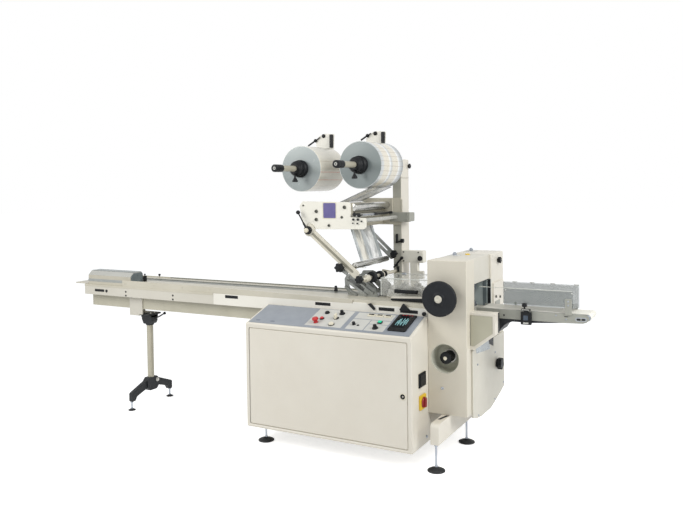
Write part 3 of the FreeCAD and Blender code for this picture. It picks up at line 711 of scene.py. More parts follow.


# Sealing head: two tall folded housings with the product tunnel between them. The front one has a
# deep pressed dish for the jaw knob, and carries the handwheel that turns the jaws by hand.
# The dish lining is a darker cream than the housing: painted shade in its deep hollow.
dish_shade_paint = coating("dish_shade_paint", ink(206, 205, 190), ink(196, 196, 181), (0.36, 0.5), mottle=6)
dish_hole = Work().turned(to_front, (105, 347, 600), [(86, 0), (86, 120)], 128)
# The front housing is a darker cream than the cabinet: painted shade on the head's front.
head_shade_paint = coating("head_shade_paint", ink(214, 208, 193), ink(207, 201, 186), (0.36, 0.5), mottle=3)
front_housing = Work().plate(oblong((0, 272), (238, 1168), 5), (244, 387), edge=6, steps=4)
front_housing.piece(
    "head_front_shell", "machine", "cream_paint", head_shade_paint, "head_front_housing", cutters=(dish_hole,)
)
dish = Work().turned(
    to_front,
    (105, 344, 600),
    [
        (85.9, -2.9), (85.9, 98.6), (85.2, 99.6), (83.4, 99.6), (82, 98), (81, 32), (78, 18), (72, 9),
        (63, 3.5), (50, 1), (30, 0.4),
    ],
    128,
)
dish.piece("dish_lining", "machine", "cream_paint", dish_shade_paint)
dress(cream_paint, "head_rear_housing", edge=6, steps=4)
dark_screw = coating(
    "dark_screw", ink(88, 88, 80), ink(66, 67, 62), (0.3, 0.48), mottle=60, grain=1400, Metallic=0.6
)
side_paint = coating("side_plate_paint", ink(162, 162, 153), ink(149, 150, 141), (0.35, 0.5), mottle=7)
# The inner housing's cream is darker: painted shade in its recess under the conveyor.
inner_shade_paint = coating("inner_shade_paint", ink(208, 204, 192), ink(200, 196, 183), (0.36, 0.5), mottle=4)
dress(inner_shade_paint, "head_inner_housing", edge=2)
trim = Work().plate(oblong((740, 822), (960, 985), 4), (237.5, 246), "yz", 1.5)
trim.piece("tunnel_rear_trim", "machine", "cream_paint", cream_paint)
black_metal = coating(
    "black_metal", ink(20, 23, 26), ink(30, 33, 37), (0.42, 0.6), mottle=18, grain=520, relief=0.35,
    **{"Specular IOR Level": 0.35},
)
slate = coating("slate_steel", ink(116, 126, 129), ink(98, 108, 112), (0.3, 0.45), mottle=12, Metallic=0.15)
tunnel_paint = coating("tunnel_paint", ink(184, 194, 193), ink(164, 175, 175), (0.3, 0.45), mottle=12)
Work().block((112, 236), (709, 717.5), (848, 1014), 1).block((60, 108), (709, 717.5), (848, 1014), 1).piece(
    "tunnel_side_plates", "machine", "steel", tunnel_paint
)
shade_strip = Work().block((186, 208), (708, 710), (848, 1013), 0.5)
shade_strip.piece("tunnel_shade_strip", "machine", "steel", slate)
dark_strips = Work().block((218, 236.5), (706.5, 710), (848, 1014), 0.5).block(
    (60, 236), (706, 710), (1007, 1014), 0.5
)
dark_strips.block((222, 237), (386.5, 393), (850, 1012), 1)
dark_strips.piece("tunnel_seals", "machine", "black_metal", black_metal)


# Small hardware of the head: button screws, the bolts that load the jaw springs with their yellow
# cap, and the knob of the rear cover.
def screw(work, axis, at, radius, height=None):
    """A button-head screw with a hexagon socket."""
    height = height or radius * 0.75
    work.turned(
        axis,
        at,
        [
            (radius, -1), (radius, height * 0.25), (radius * 0.88, height * 0.8), (radius * 0.7, height),
            (radius * 0.5, height, 6), (radius * 0.46, height * 0.35, 6),
        ],
        24,
    )


post_screws = Work()
for y, z in ((784, 895), (873, 883)):
    screw(post_screws, to_right, (246, y, z), 9)
post_screws.piece("rear_post_screws", "machine", "steel", dark_screw)
Work().plate(oblong((768, 838), (866, 866), 2), (246, 249), "yz", 0.3).piece(
    "rear_post_plate", "machine", "aluminium", side_paint
)
head_screws = Work()
screw(head_screws, to_front, (88, 244, 426), 9)
for y, z in ((401, 547), (412, 243), (738, 256), (930, 318), (751, 549)):
    screw(head_screws, to_right, (248, y, z), 6)
for y in (560, 873):
    head_screws.turned(
        upright,
        (57, y, 1168),
        [(17, 0), (17, 4), (9, 5), (9, 8), (14, 8, 6), (14, 15, 6), (8, 16), (8, 20), (6, 22)],
        24,
        0.4,
    )
head_screws.piece("head_screws", "machine", "steel", zinc)
caps = Work().turned(upright, (112, 640, 1168), [(15, 0), (15, 4), (11, 7)], 32, 0.5)
caps.piece("grease_cap", "machine", "yellow_plastic", yellow_plastic)
bridges = Work().block((22, 92), (520, 600), (1167, 1171), 1.5).block(
    (22, 92), (833, 913), (1167, 1171), 1.5
)
bridges.piece("spring_plates", "machine", "aluminium", label_grey)


def lobed(radius, lobes, depth, steps=8):
    """The outline of a star knob."""
    outline = []
    for i in range(lobes * steps):
        reach = radius - depth * (0.5 - 0.5 * math.cos(math.tau * i / steps))
        angle = math.tau * i / (lobes * steps)
        outline.append((reach * math.cos(angle), reach * math.sin(angle)))
    return outline


def star(work, axis, at, radius, low, high, lobes=6):
    """A moulded star knob between two heights along its axis."""
    spin = Vector((0, 0, 1)).rotation_difference(Vector(axis)).to_matrix().to_4x4()
    place = Matrix.Translation(at) @ spin
    depth = radius * (0.26 if lobes < 12 else 0.06)
    work.plate(lobed(radius, lobes, depth), (low, high), "xy", min(3.5, (high - low) * 0.3), 3, place=place)


rear_knob = Work()
rear_knob.turned(to_right, (237, 853, 1120), [(9, 0), (9, 7)], 24)
star(rear_knob, to_right, (237, 853, 1120), 20, 6, 25)
rear_knob.piece("rear_cover_knob", "machine", "black_plastic", black_plastic)

# Belly cover: a bent sheet screwed over the jaw drive, notched at the top for a chute of grey sheet.
chute_metal = coating(
    "chute_metal", ink(178, 184, 186), ink(140, 148, 152), (0.22, 0.4), mottle=9, grain=900, Metallic=0.4
)
# The belly cover's cream is darker than the head's: painted shade low on the head's side.
belly_shade_paint = coating("belly_shade_paint", ink(206, 202, 189), ink(198, 194, 181), (0.36, 0.5), mottle=4)
dress(belly_shade_paint, "belly_cover", edge=2.5, steps=3)
# A black plate in the notch paints the shade inside it.
Work().plate([(585, 622), (640, 645), (722, 650), (722, 597)], (238, 247), "yz", 0.5).piece(
    "chute_mouth_shade", "machine", "black_metal", black_metal
)
Work().plate(
    rounded([(385, 615, 4), (647, 590, 4), (618, 650, 6), (371, 646, 6)]), (247.5, 249.4), "yz", 0.8
).piece("chute_strip", "machine", "steel", chute_metal)

# Handwheel: a solid black moulding with a plain rim, a raised ring and an alloy cap over its bolt.
wheel_black = coating(
    "wheel_black",
    ink(15, 18, 22),
    ink(26, 29, 33),
    (0.42, 0.62),
    mottle=40,
    grain=800,
    relief=0.3,
    **{"Specular IOR Level": 0.25},
)
wheel_at = (98, 243, 955)
Work().turned(
    to_front,
    wheel_at,
    [
        (28, 0), (28, 47), (94, 47), (100, 50), (102, 54), (102, 71), (100, 75), (95, 77), (88, 76),
        (84, 74.5), (42, 74), (38, 74.5), (36, 78), (33, 81), (26, 82), (24, 80),
    ],
    96,
).piece("handwheel_rim", "handwheel", "black_plastic", wheel_black, "handwheel")
alloy = coating(
    "aluminium",
    ink(206, 204, 198),
    ink(186, 186, 182),
    (0.28, 0.42),
    mottle=24,
    grain=1600,
    relief=0.06,
    Metallic=0.7,
)
cap_metal = coating(
    "cap_metal",
    ink(206, 202, 188),
    ink(184, 180, 166),
    (0.34, 0.5),
    mottle=60,
    grain=1200,
    relief=0.1,
    Metallic=0.2,
)
Work().turned(
    to_front,
    wheel_at,
    [(22, 79), (22, 82.5), (19, 84.5), (12, 84.8), (11, 83.6), (6, 83.4), (5, 82, 6)],
    48,
    0.4,
).piece("handwheel_cap", "handwheel", "aluminium", cap_metal)
Work().turned(to_front, (162, 243, 926), [(8, 73.8), (8, 75.4), (6, 75.6), (5, 74.6)], 24).piece(
    "handwheel_grip_hole", "handwheel", "black_plastic", black_plastic
)

# Jaw knob in the dish: a long black knob on a black sleeve, with a pale cap in front and a bright
# scale ring behind. The side knob on the head's discharge side sets the belt's speed.
jaw_at = (104, 343, 600)
jaw = Work().turned(to_front, jaw_at, [(34, 0), (34, 10), (28, 12), (27, 60), (20, 62), (20, 68)], 48, 0.5)
star(jaw, to_front, jaw_at, 36, 62, 86, 24)
jaw.turned(to_front, jaw_at, [(29, 84), (29, 88), (14, 91)], 48, 0.5)
jaw.piece("jaw_star_knob", "jaw_knob", "black_plastic", black_plastic, "jaw_knob")
jaw_bright = Work().turned(
    to_front, jaw_at, [(33, 0), (41, 0), (42, 2), (42, 11), (40, 13), (33, 13)], 64, 0.5, ring=True
)
jaw_bright.piece("jaw_knob_ring", "jaw_knob", "bright_steel", alloy)
Work().turned(to_front, jaw_at, [(11, 90), (11, 94), (9, 96.5)], 32).piece(
    "jaw_knob_cap", "jaw_knob", "cream_paint", white_plastic
)
side_knob_at = (249, 784, 472)
side = Work().turned(to_right, side_knob_at, [(16, 0), (16, 6)], 32)
star(side, to_right, side_knob_at, 38, 5, 37, 5)
side.piece("side_star_knob", "side_knob", "black_plastic", black_plastic, "side_knob")

# Crimp jaws: ground steel bars with fine serrations across the film.
dress(zinc, "crimp_jaws", edge=0.8)

# Discharge conveyor: a tapered cover, a black cast bracket and a narrow flat belt round two rollers
# between pressed side plates. A tinted plastic hood over the belt keeps hands off the jaws.
cover_outline = [(238, 868, 0), (384, 868, 2), (384, 748, 3), (264, 655, 3), (238, 655, 0)]
olive = coating("recess_paint", ink(182, 179, 160), ink(174, 171, 151), (0.4, 0.55), mottle=3)
inner = [(238, 852), (368, 852), (368, 757), (262, 676), (238, 676)]
box = Work().plate(rounded(cover_outline), (306, 386), edge=1)
box.plate(rounded(cover_outline), (300, 307), edge=1, holes=[inner])
box.piece("discharge_box_shell", "machine", "cream_paint", cream_paint, "discharge_box")
Work().plate([(239, 853), (369, 853), (369, 756), (262, 675), (239, 675)], (303.5, 307), edge=0).piece(
    "discharge_box_panel", "machine", "shaded_paint", olive
)
Work().block((383.5, 386), (364, 386), (750, 867), 0.6).piece(
    "discharge_box_seal", "machine", "black_metal", black_metal
)
dress(black_metal, "discharge_support", edge=2)
dress(side_paint, "discharge_side_plates", edge=1)
plate_marks = Work().turned(to_front, (393, 455, 841), [(5, -1), (5, 1.5), (3.5, 2)], 20)
plate_marks.plate(oblong((802, 840), (824, 851), 5), (454, 456), edge=0.3).plate(
    oblong((829, 841), (850, 852), 5), (454, 456), edge=0.3
)
plate_marks.plate(oblong((735, 855), (756, 859), 2), (454.2, 456), edge=0.2)
plate_marks.piece("conveyor_slots", "machine", "black_metal", black_metal)
rims = Work()
rims.plate(
    oblong((796, 835), (856, 857), 10), (454.4, 455.5), edge=0.3, holes=[oblong((800, 838), (852, 853), 7)]
)
for x, z in ((690, 861), (745, 842)):
    screw(rims, to_front, (x, 455, z), 4.5)
for z in (922, 944):
    screw(rims, to_front, (759, 446, z), 5)
rims.piece("conveyor_screws", "machine", "steel", zinc)


front_roller, belt_height = 860, 857


def belt_line(radius):
    """The outline of the belt at a distance from its rollers' centres."""
    outline = []
    for x, begin in ((front_roller, -90), (262, 90)):
        for i in range(19):
            angle = math.radians(begin + 10 * i)
            outline.append((x + radius * math.cos(angle), belt_height + radius * math.sin(angle)))
    return outline


to_back = (0, 1, 0)
belt_cloth = coating(
    "belt", ink(238, 235, 225), ink(226, 223, 212), (0.42, 0.6), mottle=13, grain=1100, relief=0.12
)
Work().plate(belt_line(20), (464, 617), edge=0.6, holes=[belt_line(17.2)]).piece(
    "conveyor_belt", "machine", "belt", belt_cloth, "discharge_belt"
)
dress(zinc, "discharge_bed_and_rollers", edge=0.8)
Work().turned(to_back, (front_roller, 617, belt_height), [(20, 0), (20, 2.5), (16, 3)], 48, 0.4).turned(
    to_back, (front_roller, 626, belt_height), [(19, 0), (19, 3), (14, 4), (8, 4), (8, 1)], 48, 0.4
).piece("roller_end_caps", "machine", "aluminium", alloy)


def tinted(name, tone, shade, clear, rough, scuff):
    """Clear or tinted sheet: part of it lets the view through, with scuffs that show more."""
    made, start = blank(name)
    where = start.node("ShaderNodeTexCoord", out="Object")
    cloud = start.noise(where, 6.0, 5.0)
    streaks = start.node("ShaderNodeMapping", {}, {"Vector": where, "Scale": (9, 160, 90)})
    marks = start.stretch(start.noise(streaks, 5.0, 4.0), 0.5, 0.78)
    cover = marks * scuff + cloud * 0.12 + clear
    start.surface(
        {"Base Color": start.blend(cloud, tone, shade), "Roughness": marks * 0.3 + rough, "Alpha": cover}
    )
    return made


# A pale strip along the guard's near top edge is a painted highlight.
guard_top_highlight = coating("guard_top_highlight", ink(222, 222, 212), ink(196, 198, 190), (0.2, 0.4), mottle=20)
grey_guard = tinted("grey_guard", ink(138, 144, 141), ink(126, 133, 130), 0.34, 0.18, 0.08)
dress(grey_guard, "discharge_guard", edge=1)
tabs = Work()
for x in (396, 500, 620, 755):
    tabs.block((x, x + 28), (626, 633), (1012, 1018), 1)
for x in (396, 770):
    tabs.turned(to_front, (x + 8, 450, 990), [(4, 0), (4, 2), (2.5, 2.6)], 16)
tabs.piece("guard_clips", "machine", "aluminium", alloy)
Work().block((247, 776), (448.8, 450.8), (999, 1002.4), 0.4).piece(
    "guard_top_highlight_strip", "machine", "clear_guard", guard_top_highlight
)

# Photocell: a black housing on a bracket, with a grey-blue window, a blank plate below it and a
# locking knob on top.
cell = Work().block((496, 555), (430, 455), (798, 870), 2.5, 3).block(
    (505, 546), (428, 432), (812, 862), 1.5
)
cell.block((512, 536), (430, 449), (869, 881), 1).block((498, 551), (430, 449), (880, 888), 1.5)
cell_stem = (518, 434, 0)
cell.turned(upright, cell_stem, [(5, 887), (5, 901)], 20)
cell.turned(upright, cell_stem, [(6, 899), (12, 901), (14, 906), (14, 916), (11, 921), (6, 922)], 40)
cell.piece("photocell_housing", "machine", "black_plastic", black_plastic, "photocell")
lens_blue = coating("lens_blue", ink(70, 84, 100), ink(48, 58, 70), (0.12, 0.25), mottle=50)
Work().plate(oblong((512, 824), (538, 852), 3), (426.6, 429), edge=0.6).piece(
    "photocell_window", "machine", "screen", lens_blue
)
Work().plate(oblong((510, 803), (541, 812), 2), (429, 431), edge=0.3).block(
    (503, 546), (428.6, 431), (882, 886), 0.4
).piece("photocell_plate", "machine", "aluminium", label_grey)

# Infeed channel: two lengths of painted bar, butt joined beyond the cabinet's left end. The slots milled
# through it for side rails are filled with black: painted shade for the dark inside of each slot.
# A darker beige: painted shade for the film head's back plate.
beige_shade_paint = coating("beige_shade_paint", ink(205, 200, 184), ink(196, 190, 172), (0.38, 0.52), mottle=3.2)
rail_slots = (
    ((-1476, 853), (-1367, 874)), ((-764, 853), (-652, 873)), ((-319, 849), (-213, 870)),
    ((-177, 846), (-62, 866)),
)
channel = Work().plate(
    oblong((-1576, 804), (-2, 880), 1.5),
    (250, 262),
    edge=1,
    holes=[oblong(low, high, 3) for low, high in rail_slots],
)
channel.block((-495, -400), (250, 262), (879.5, 889), 1.2)
fresh_paint = coating("fresh_paint", ink(233, 230, 221), ink(227, 224, 214), (0.36, 0.48), mottle=3)
channel.piece("channel_right_length", "machine", "cream_paint", fresh_paint, "infeed_front_channel")
channel_paint = coating("channel_paint", ink(207, 203, 192), ink(199, 195, 183), (0.36, 0.5), mottle=2.6)
Work().plate(oblong((-2817, 804), (-1577.5, 880), 1.5), (250, 262), edge=1).piece(
    "channel_left_length", "machine", "cream_paint", channel_paint
)
# Black fillers in the slots are painted shade; the strip, dot and screw heads on the left length are plain
# black marks.
slot_shade_and_marks = Work()
for low, high in rail_slots:
    slot_shade_and_marks.plate(
        oblong((low[0] + 0.6, low[1] + 0.6), (high[0] - 0.6, high[1] - 0.6), 2.6), (251.5, 261), edge=0.6
    )
slot_shade_and_marks.plate(oblong((-2710, 829), (-2612, 848), 2), (249.2, 251), edge=0.3)
slot_shade_and_marks.turned(to_front, (-2588, 250, 838), [(11, -1), (11, 2), (8, 3)], 24)
for x in (-2391, -1938):
    for z in (843, 815):
        slot_shade_and_marks.turned(to_front, (x, 250, z), [(7, -1), (7, 1), (3.5, 1.4, 6), (3.5, 0, 6)], 24)
slot_shade_and_marks.piece("channel_slot_shade_and_marks", "machine", "black_plastic", black_plastic)

# Infeed body and bed: a folded box with a deep pan below it, painted bed plates with darker strips beside
# the chain slot, a low side rail, and a thin tongue that meets the feeding table.
# The pan is a darker beige than the channel above it: painted shade under the bed.
pan_shade_paint = coating(
    "pan_shade_paint", ink(192, 188, 171), ink(179, 175, 157), (0.36, 0.5), mottle=6, grain=500, relief=0.12
)
dress(pan_shade_paint, "infeed_body", edge=2)
bed_metal = coating(
    "bed_plate", ink(200, 195, 180), ink(188, 183, 167), (0.32, 0.46), mottle=3, grain=900, Metallic=0.1
)
bed = Work().block((-2790, -2), (262, 372), (870, 905), 1.5).block((-2790, -2), (375, 460), (870, 905), 1.5)
bed.block((-2790, -2), (262.5, 458), (870, 902), 0).block((-2790, -2), (576, 640), (870, 905), 1.5)
for x in range(-2300, -660, 205):
    screw(bed, upright, (x, 610, 905), 5, 2.5)
bed.piece("bed_plates", "machine", "steel", bed_metal, "infeed_bed")
rail = Work().plate(
    [(-2428, 880), (-500, 880), (-500, 906), (-1500, 921), (-2428, 926)], (252, 261.5), edge=1.2
)
rail.block((-2817, -1577.5), (248.6, 261.5), (866, 881), 1)
for x in (-2400, -2120, -1850, -1610):
    screw(rail, to_front, (x, 252, 905), 5, 2.5)
rail.piece("bed_side_rail", "machine", "steel", bed_metal)
# Dark strips beside the chain slot and on the back rail's face, and a thin painted shadow line under the
# bed's front edge over the channel.
dark_band_and_shadow_metal = coating(
    "dark_band_and_shadow_finish",
    ink(126, 128, 119),
    ink(104, 107, 101),
    (0.3, 0.5),
    mottle=9,
    grain=1100,
    relief=0.1,
    Metallic=0.3,
)
dark_bands_and_shadow_line = Work().block((-2790, -2), (460, 530), (870, 904), 1).block((-2790, -2), (556, 576), (870, 904), 1)
dark_bands_and_shadow_line.block((-2300, -650), (638.6, 640.4), (905, 910.6), 0.2).block(
    (-1576, -400), (261.2, 262.6), (880.2, 885), 0.2
)
dark_bands_and_shadow_line.piece("bed_dark_bands_and_shadow_line", "machine", "steel", dark_band_and_shadow_metal)
tongue = Work().plate(
    rounded([(-2937, 262, 14), (-2790, 262, 0), (-2790, 410, 0), (-2937, 410, 22)]),
    (880, 887),
    "xy",
    edge=1.2,
)
for y in (290, 380):
    screw(tongue, upright, (-2806, y, 887), 6, 3)
tongue.piece("bed_tongue", "machine", "steel", bed_metal)

# Infeed chain: a roller chain of 25 mm pitch that runs in the slot, with a forged pusher on it.
pitch, chain_middle = 25.0, 543
links = Work()
for i in range(85):
    x = -2758 + pitch * i
    shift = 5.6 if i % 2 else 7.6
    for side_at in (-shift, shift - 1.6):
        links.plate(
            oblong((x - 5, 871), (x + pitch + 5, 888), 7, 3),
            (chain_middle + side_at, chain_middle + side_at + 1.6),
            edge=0,
        )
    links.turned(to_back, (x, chain_middle, 879.5), [(3.4, -8.6), (3.4, 8.6)], 10)
    links.turned(to_back, (x, chain_middle, 879.5), [(7, -5.2), (7, 5.2)], 12)
chain_steel = coating(
    "chain_steel",
    ink(96, 98, 98),
    ink(70, 72, 74),
    (0.32, 0.5),
    mottle=60,
    grain=1400,
    relief=0.1,
    Metallic=0.8,
)
links.piece("roller_chain", "machine", "steel", chain_steel, "infeed_chain")
Work().plate(
    rounded(
        [(-790, 889, 1), (-758, 889, 1), (-762, 912, 4), (-767, 939, 4), (-781, 939, 4), (-784, 912, 4)]
    ),
    (537.5, 548.5),
    edge=1,
).piece("chain_pusher", "machine", "steel", black_metal)

# Guard over the infeed's tail sprocket: a hood rolled from light metal with a dark end plate. Strips on its
# top and front carry the metal's painted reflection, grey on top and beige in front, and a grey strip runs
# along its foot. A stop block and a small knob stand beside it.
hood_metal = coating(
    "hood_metal", ink(188, 188, 182), ink(178, 178, 172), (0.24, 0.36), mottle=2.5, grain=900, Metallic=0.35
)
hood_line = rounded(
    [(262, 905, 0), (262, 953, 5), (292, 981, 8), (378, 983, 10), (392, 966, 10), (392, 905, 0)], 5
)
Work().plate(hood_line, (-2786, -2354), "yz", edge=1.2).piece(
    "tail_hood", "machine", "steel", hood_metal, "infeed_end_cover"
)
# The top strip is a painted reflection: the hood's top drawn grey.
hood_top_reflection = Work().block((-2784, -2356), (298, 378), (981.5, 984), 0.6)
hood_top_reflection.piece(
    "tail_hood_top",
    "machine",
    "steel",
    coating("hood_top_reflection", ink(146, 152, 151), ink(130, 137, 137), (0.3, 0.45), mottle=9),
)
# The front strip is a painted reflection: the hood's face drawn beige.
hood_front_reflection = Work().block((-2786, -2352), (260.8, 262.4), (924, 951), 0.4)
hood_front_reflection.piece(
    "tail_hood_front",
    "machine",
    "steel",
    coating("hood_front_reflection", ink(188, 183, 168), ink(176, 171, 156), (0.35, 0.5), mottle=9),
)
hood_foot = Work().block((-2790, -2430), (260.4, 262.4), (903, 921), 0.4)
hood_foot.piece(
    "tail_hood_foot",
    "machine",
    "steel",
    coating("hood_foot", ink(164, 166, 162), ink(148, 152, 150), (0.35, 0.5), mottle=30),
)
end_line = rounded(
    [(268, 905, 0), (268, 950, 6), (296, 976, 8), (376, 978, 9), (387, 963, 9), (387, 905, 0)], 5
)
tail_end = Work().plate(end_line, (-2356, -2349), "yz", edge=0.8)
for y, z in ((284, 925), (372, 925), (330, 962)):
    screw(tail_end, to_right, (-2349, y, z), 4.5)
tail_end.piece("tail_end_plate", "machine", "steel", slate)
stops = Work().block((-2349, -2335), (386, 416), (905, 948), 3).turned(
    upright, (-2420, 646, 911), [(4, -1), (4, 5), (8, 7), (10, 11), (10, 15), (7, 20), (3, 21)], 28
)
stops.turned(upright, (-2342, 401, 905), [(4, 40), (4, 50), (7, 51), (7, 56), (5, 58)], 24)
stops.piece("tail_stop", "machine", "black_plastic", black_plastic)

# Infeed stand: a folded bracket bolted under the pan, a black cast clamp, a coated tube and a cast
# foot with two arms that slope down to the levelling pads.
dress(channel_paint, "stand_bracket", edge=1.5)
bracket_bolts = Work()
for x in (-2383, -2284):
    screw(bracket_bolts, to_front, (x, 290, 790), 7)
bracket_bolts.turned(
    to_right, (-2242, 404, 172), [(15, -2), (15, 2), (12, 3), (11, 3, 6), (11, 10, 6), (8, 11, 6)], 24, 0.4
)
for y in (345, 385):
    bracket_bolts.turned(upright, (-2240, y, 677), [(8, -1), (8, 2), (7, 2, 6), (7, 8, 6)], 24, 0.3)
bracket_bolts.piece("stand_bolts", "machine", "steel", alloy)
clamp = Work().plate(
    rounded(
        [
            (-2316, 665, 1), (-2316, 634, 8), (-2300, 600, 8), (-2234, 600, 8), (-2222, 622, 8),
            (-2222, 665, 1),
        ]
    ),
    (331, 399),
    edge=7,
    steps=3,
)
clamp.block((-2302, -2222), (303, 437), (665, 677), 2.5, 3).block(
    (-2316, -2222), (325, 405), (648, 665.5), 2.5, 3
)
clamp.turned(upright, (-2268, 365, 588), [(26, 0), (31, 4), (33, 18), (33, 24)], 40)
clamp.pipe([(-2226, 372, 640), (-2196, 384, 650), (-2166, 404, 672)], 5, 14)
clamp.turned((1, 0.4, 0.6), (-2166, 404, 672), [(4, -2), (9, 3), (11, 9), (9, 15), (4, 18)], 24)
clamp.piece("stand_clamp_casting", "machine", "black_metal", black_metal, "stand_clamp")
khaki = coating(
    "khaki_tube", ink(184, 179, 161), ink(172, 167, 149), (0.3, 0.44), mottle=8, grain=800, Metallic=0.15
)
dress(khaki, "stand_post", edge=1)
legs_line = rounded(
    [
        (331, 198, 4), (312, 186, 10), (153, 124, 12), (153, 64, 3), (184, 64, 4), (202, 92, 14),
        (312, 128, 18), (334, 112, 10), (396, 112, 10), (418, 128, 18), (529, 92, 14), (546, 64, 4),
        (577, 64, 3), (577, 124, 12), (418, 186, 10), (399, 198, 4),
    ]
)
foot_casting = Work().plate(legs_line, (-2286, -2250), "yz", edge=7, steps=3)
foot_casting.plate(
    rounded(
        [
            (325, 200, 3), (303, 178, 6), (303, 132, 8), (330, 104, 8), (400, 104, 8), (427, 132, 8),
            (427, 178, 6), (405, 200, 3),
        ]
    ),
    (-2294, -2242),
    "yz",
    edge=7,
    steps=3,
)
foot_casting.piece("stand_foot_casting", "machine", "black_metal", black_metal, "stand_legs")

# Column: a square painted tube in two lengths that stands on the deck. On its front face are the
# height clamp's levers, and a knob holds the cap on its right side.
dress(cream_paint, "column", edge=4, steps=3)
# Darker plates on the column's front paint the shade on that face.
column_face_shade = coating("column_face_shade", ink(186, 184, 172), ink(174, 173, 161), (0.36, 0.5), mottle=4)
Work().block((-462, -405), (799.2, 801), (806, 1652), 0.5).block(
    (-462, -405), (799.2, 801), (1656, 1776), 0.5
).piece("column_front_shade_plates", "machine", "cream_paint", column_face_shade)
Work().block((-466.6, -400.4), (799.4, 925.6), (1653, 1655.4), 0).piece(
    "column_seam", "machine", "shaded_paint", olive
)
levers = Work().turned(
    to_right, (-401, 918, 1735), [(7, -1), (7, 4), (14, 5), (17, 8), (17, 13), (14, 16)], 28
)
levers.plate(oblong((-441, 1214), (-427, 1278), 6), (782, 796), edge=3, steps=3).bar(
    (-434, 800, 1222), (-434, 782, 1222), 8
)
levers.bar((-434, 788, 1222), (-400, 780, 1228), 6)
star(levers, to_right, (-404, 786, 1232), 15, 0, 22, 5)
levers.pipe([(-456, 784, 1050), (-430, 780, 1078), (-398, 776, 1112)], 7, 10)
levers.turned((0.65, -0.1, 0.75), (-400, 776, 1110), [(6, -4), (10, 2), (11, 10), (8, 18), (4, 20)], 24)
levers.bar((-441, 803, 1066), (-441, 780, 1066), 9)
levers.block((-436, -422), (786, 800), (984, 1058), 3)
levers.piece("column_levers", "machine", "black_plastic", black_plastic)
Work().bar((-545, 792, 1027), (-424, 792, 1011), 8).bar((-432, 801, 1013), (-432, 786, 1013), 11).piece(
    "column_stay", "machine", "khaki_tube", khaki
)

# Reel carrier: a painted beam on the column with two bearings and, above each, a bent bracket that
# holds the film's edge guide on a threaded rod.
carrier = Work().block((-1100, -466), (830, 890), (1700, 1760), 3)
guides = Work()
guide_bolts = Work()
for x, z in ((-932, 1722), (-497, 1737)):
    carrier.turned(
        to_back, (x, 716, z), [(30, 0), (30, 22), (34, 24), (34, 40), (30, 42), (30, 124)], 40, 0.6
    )
for x, far, guide_foot, nut_x, tilt_at, middle, end in (
    (-1072, -963, 1878, -1017, (-1141, 1898), (-1081, 1933), (-1044, 1955)),
    (-668, -558, 1886, -607, (-714, 1922), (-664, 1951), (-638, 1966)),
):
    carrier.plate(
        rounded(
            [
                (x, 1760, 0), (x + 128, 1760, 0), (x + 140, 1975, 6), (x + 62, 1980, 12),
                (x + 16, 1964, 8), (x - 12, 1926, 8), (x - 2, 1880, 8),
            ]
        ),
        (834, 842),
        edge=1,
    )
    carrier.block((x + 10, x + 120), (822, 842), (1756, 1764), 1.5)
    guides.block((far, far + 24), (818, 834), (guide_foot, 1972), 3)
    guides.bar((tilt_at[0], 826, tilt_at[1]), (middle[0], 826, middle[1]), 6)
    guides.bar((middle[0], 826, middle[1]), (end[0], 826, end[1]), 4)
    guides.turned(
        (end[0] - middle[0], 0, end[1] - middle[1]), (middle[0], 826, middle[1]),
        [(11, -7), (12, -4), (12, 6), (9, 9)], 24,
    )
    guides.turned(
        to_front,
        (nut_x, 834, 1964),
        [(14, 0), (14, 5), (11, 6), (10, 6, 6), (10, 14, 6)],
        24,
        0.4,
    )
    for up in (1790, 1850, 1910):
        screw(guide_bolts, to_front, (x + 108, 834, up), 4.5)
carrier_paint = coating("carrier_paint", ink(238, 235, 226), ink(229, 226, 216), (0.36, 0.5), mottle=5)
carrier.piece("reel_carrier", "machine", "shaded_paint", carrier_paint, "reel_beam")
guides.piece("film_edge_guides", "machine", "black_plastic", black_plastic)
guide_bolts.piece("carrier_screws", "machine", "steel", zinc)


# Film reels: plastic film wound on a core. Its edges show the fine turns of the winding with a
# paler outer turn, and its outside shows rows of worn print across or along the film.
film_near, film_width = 380, 330


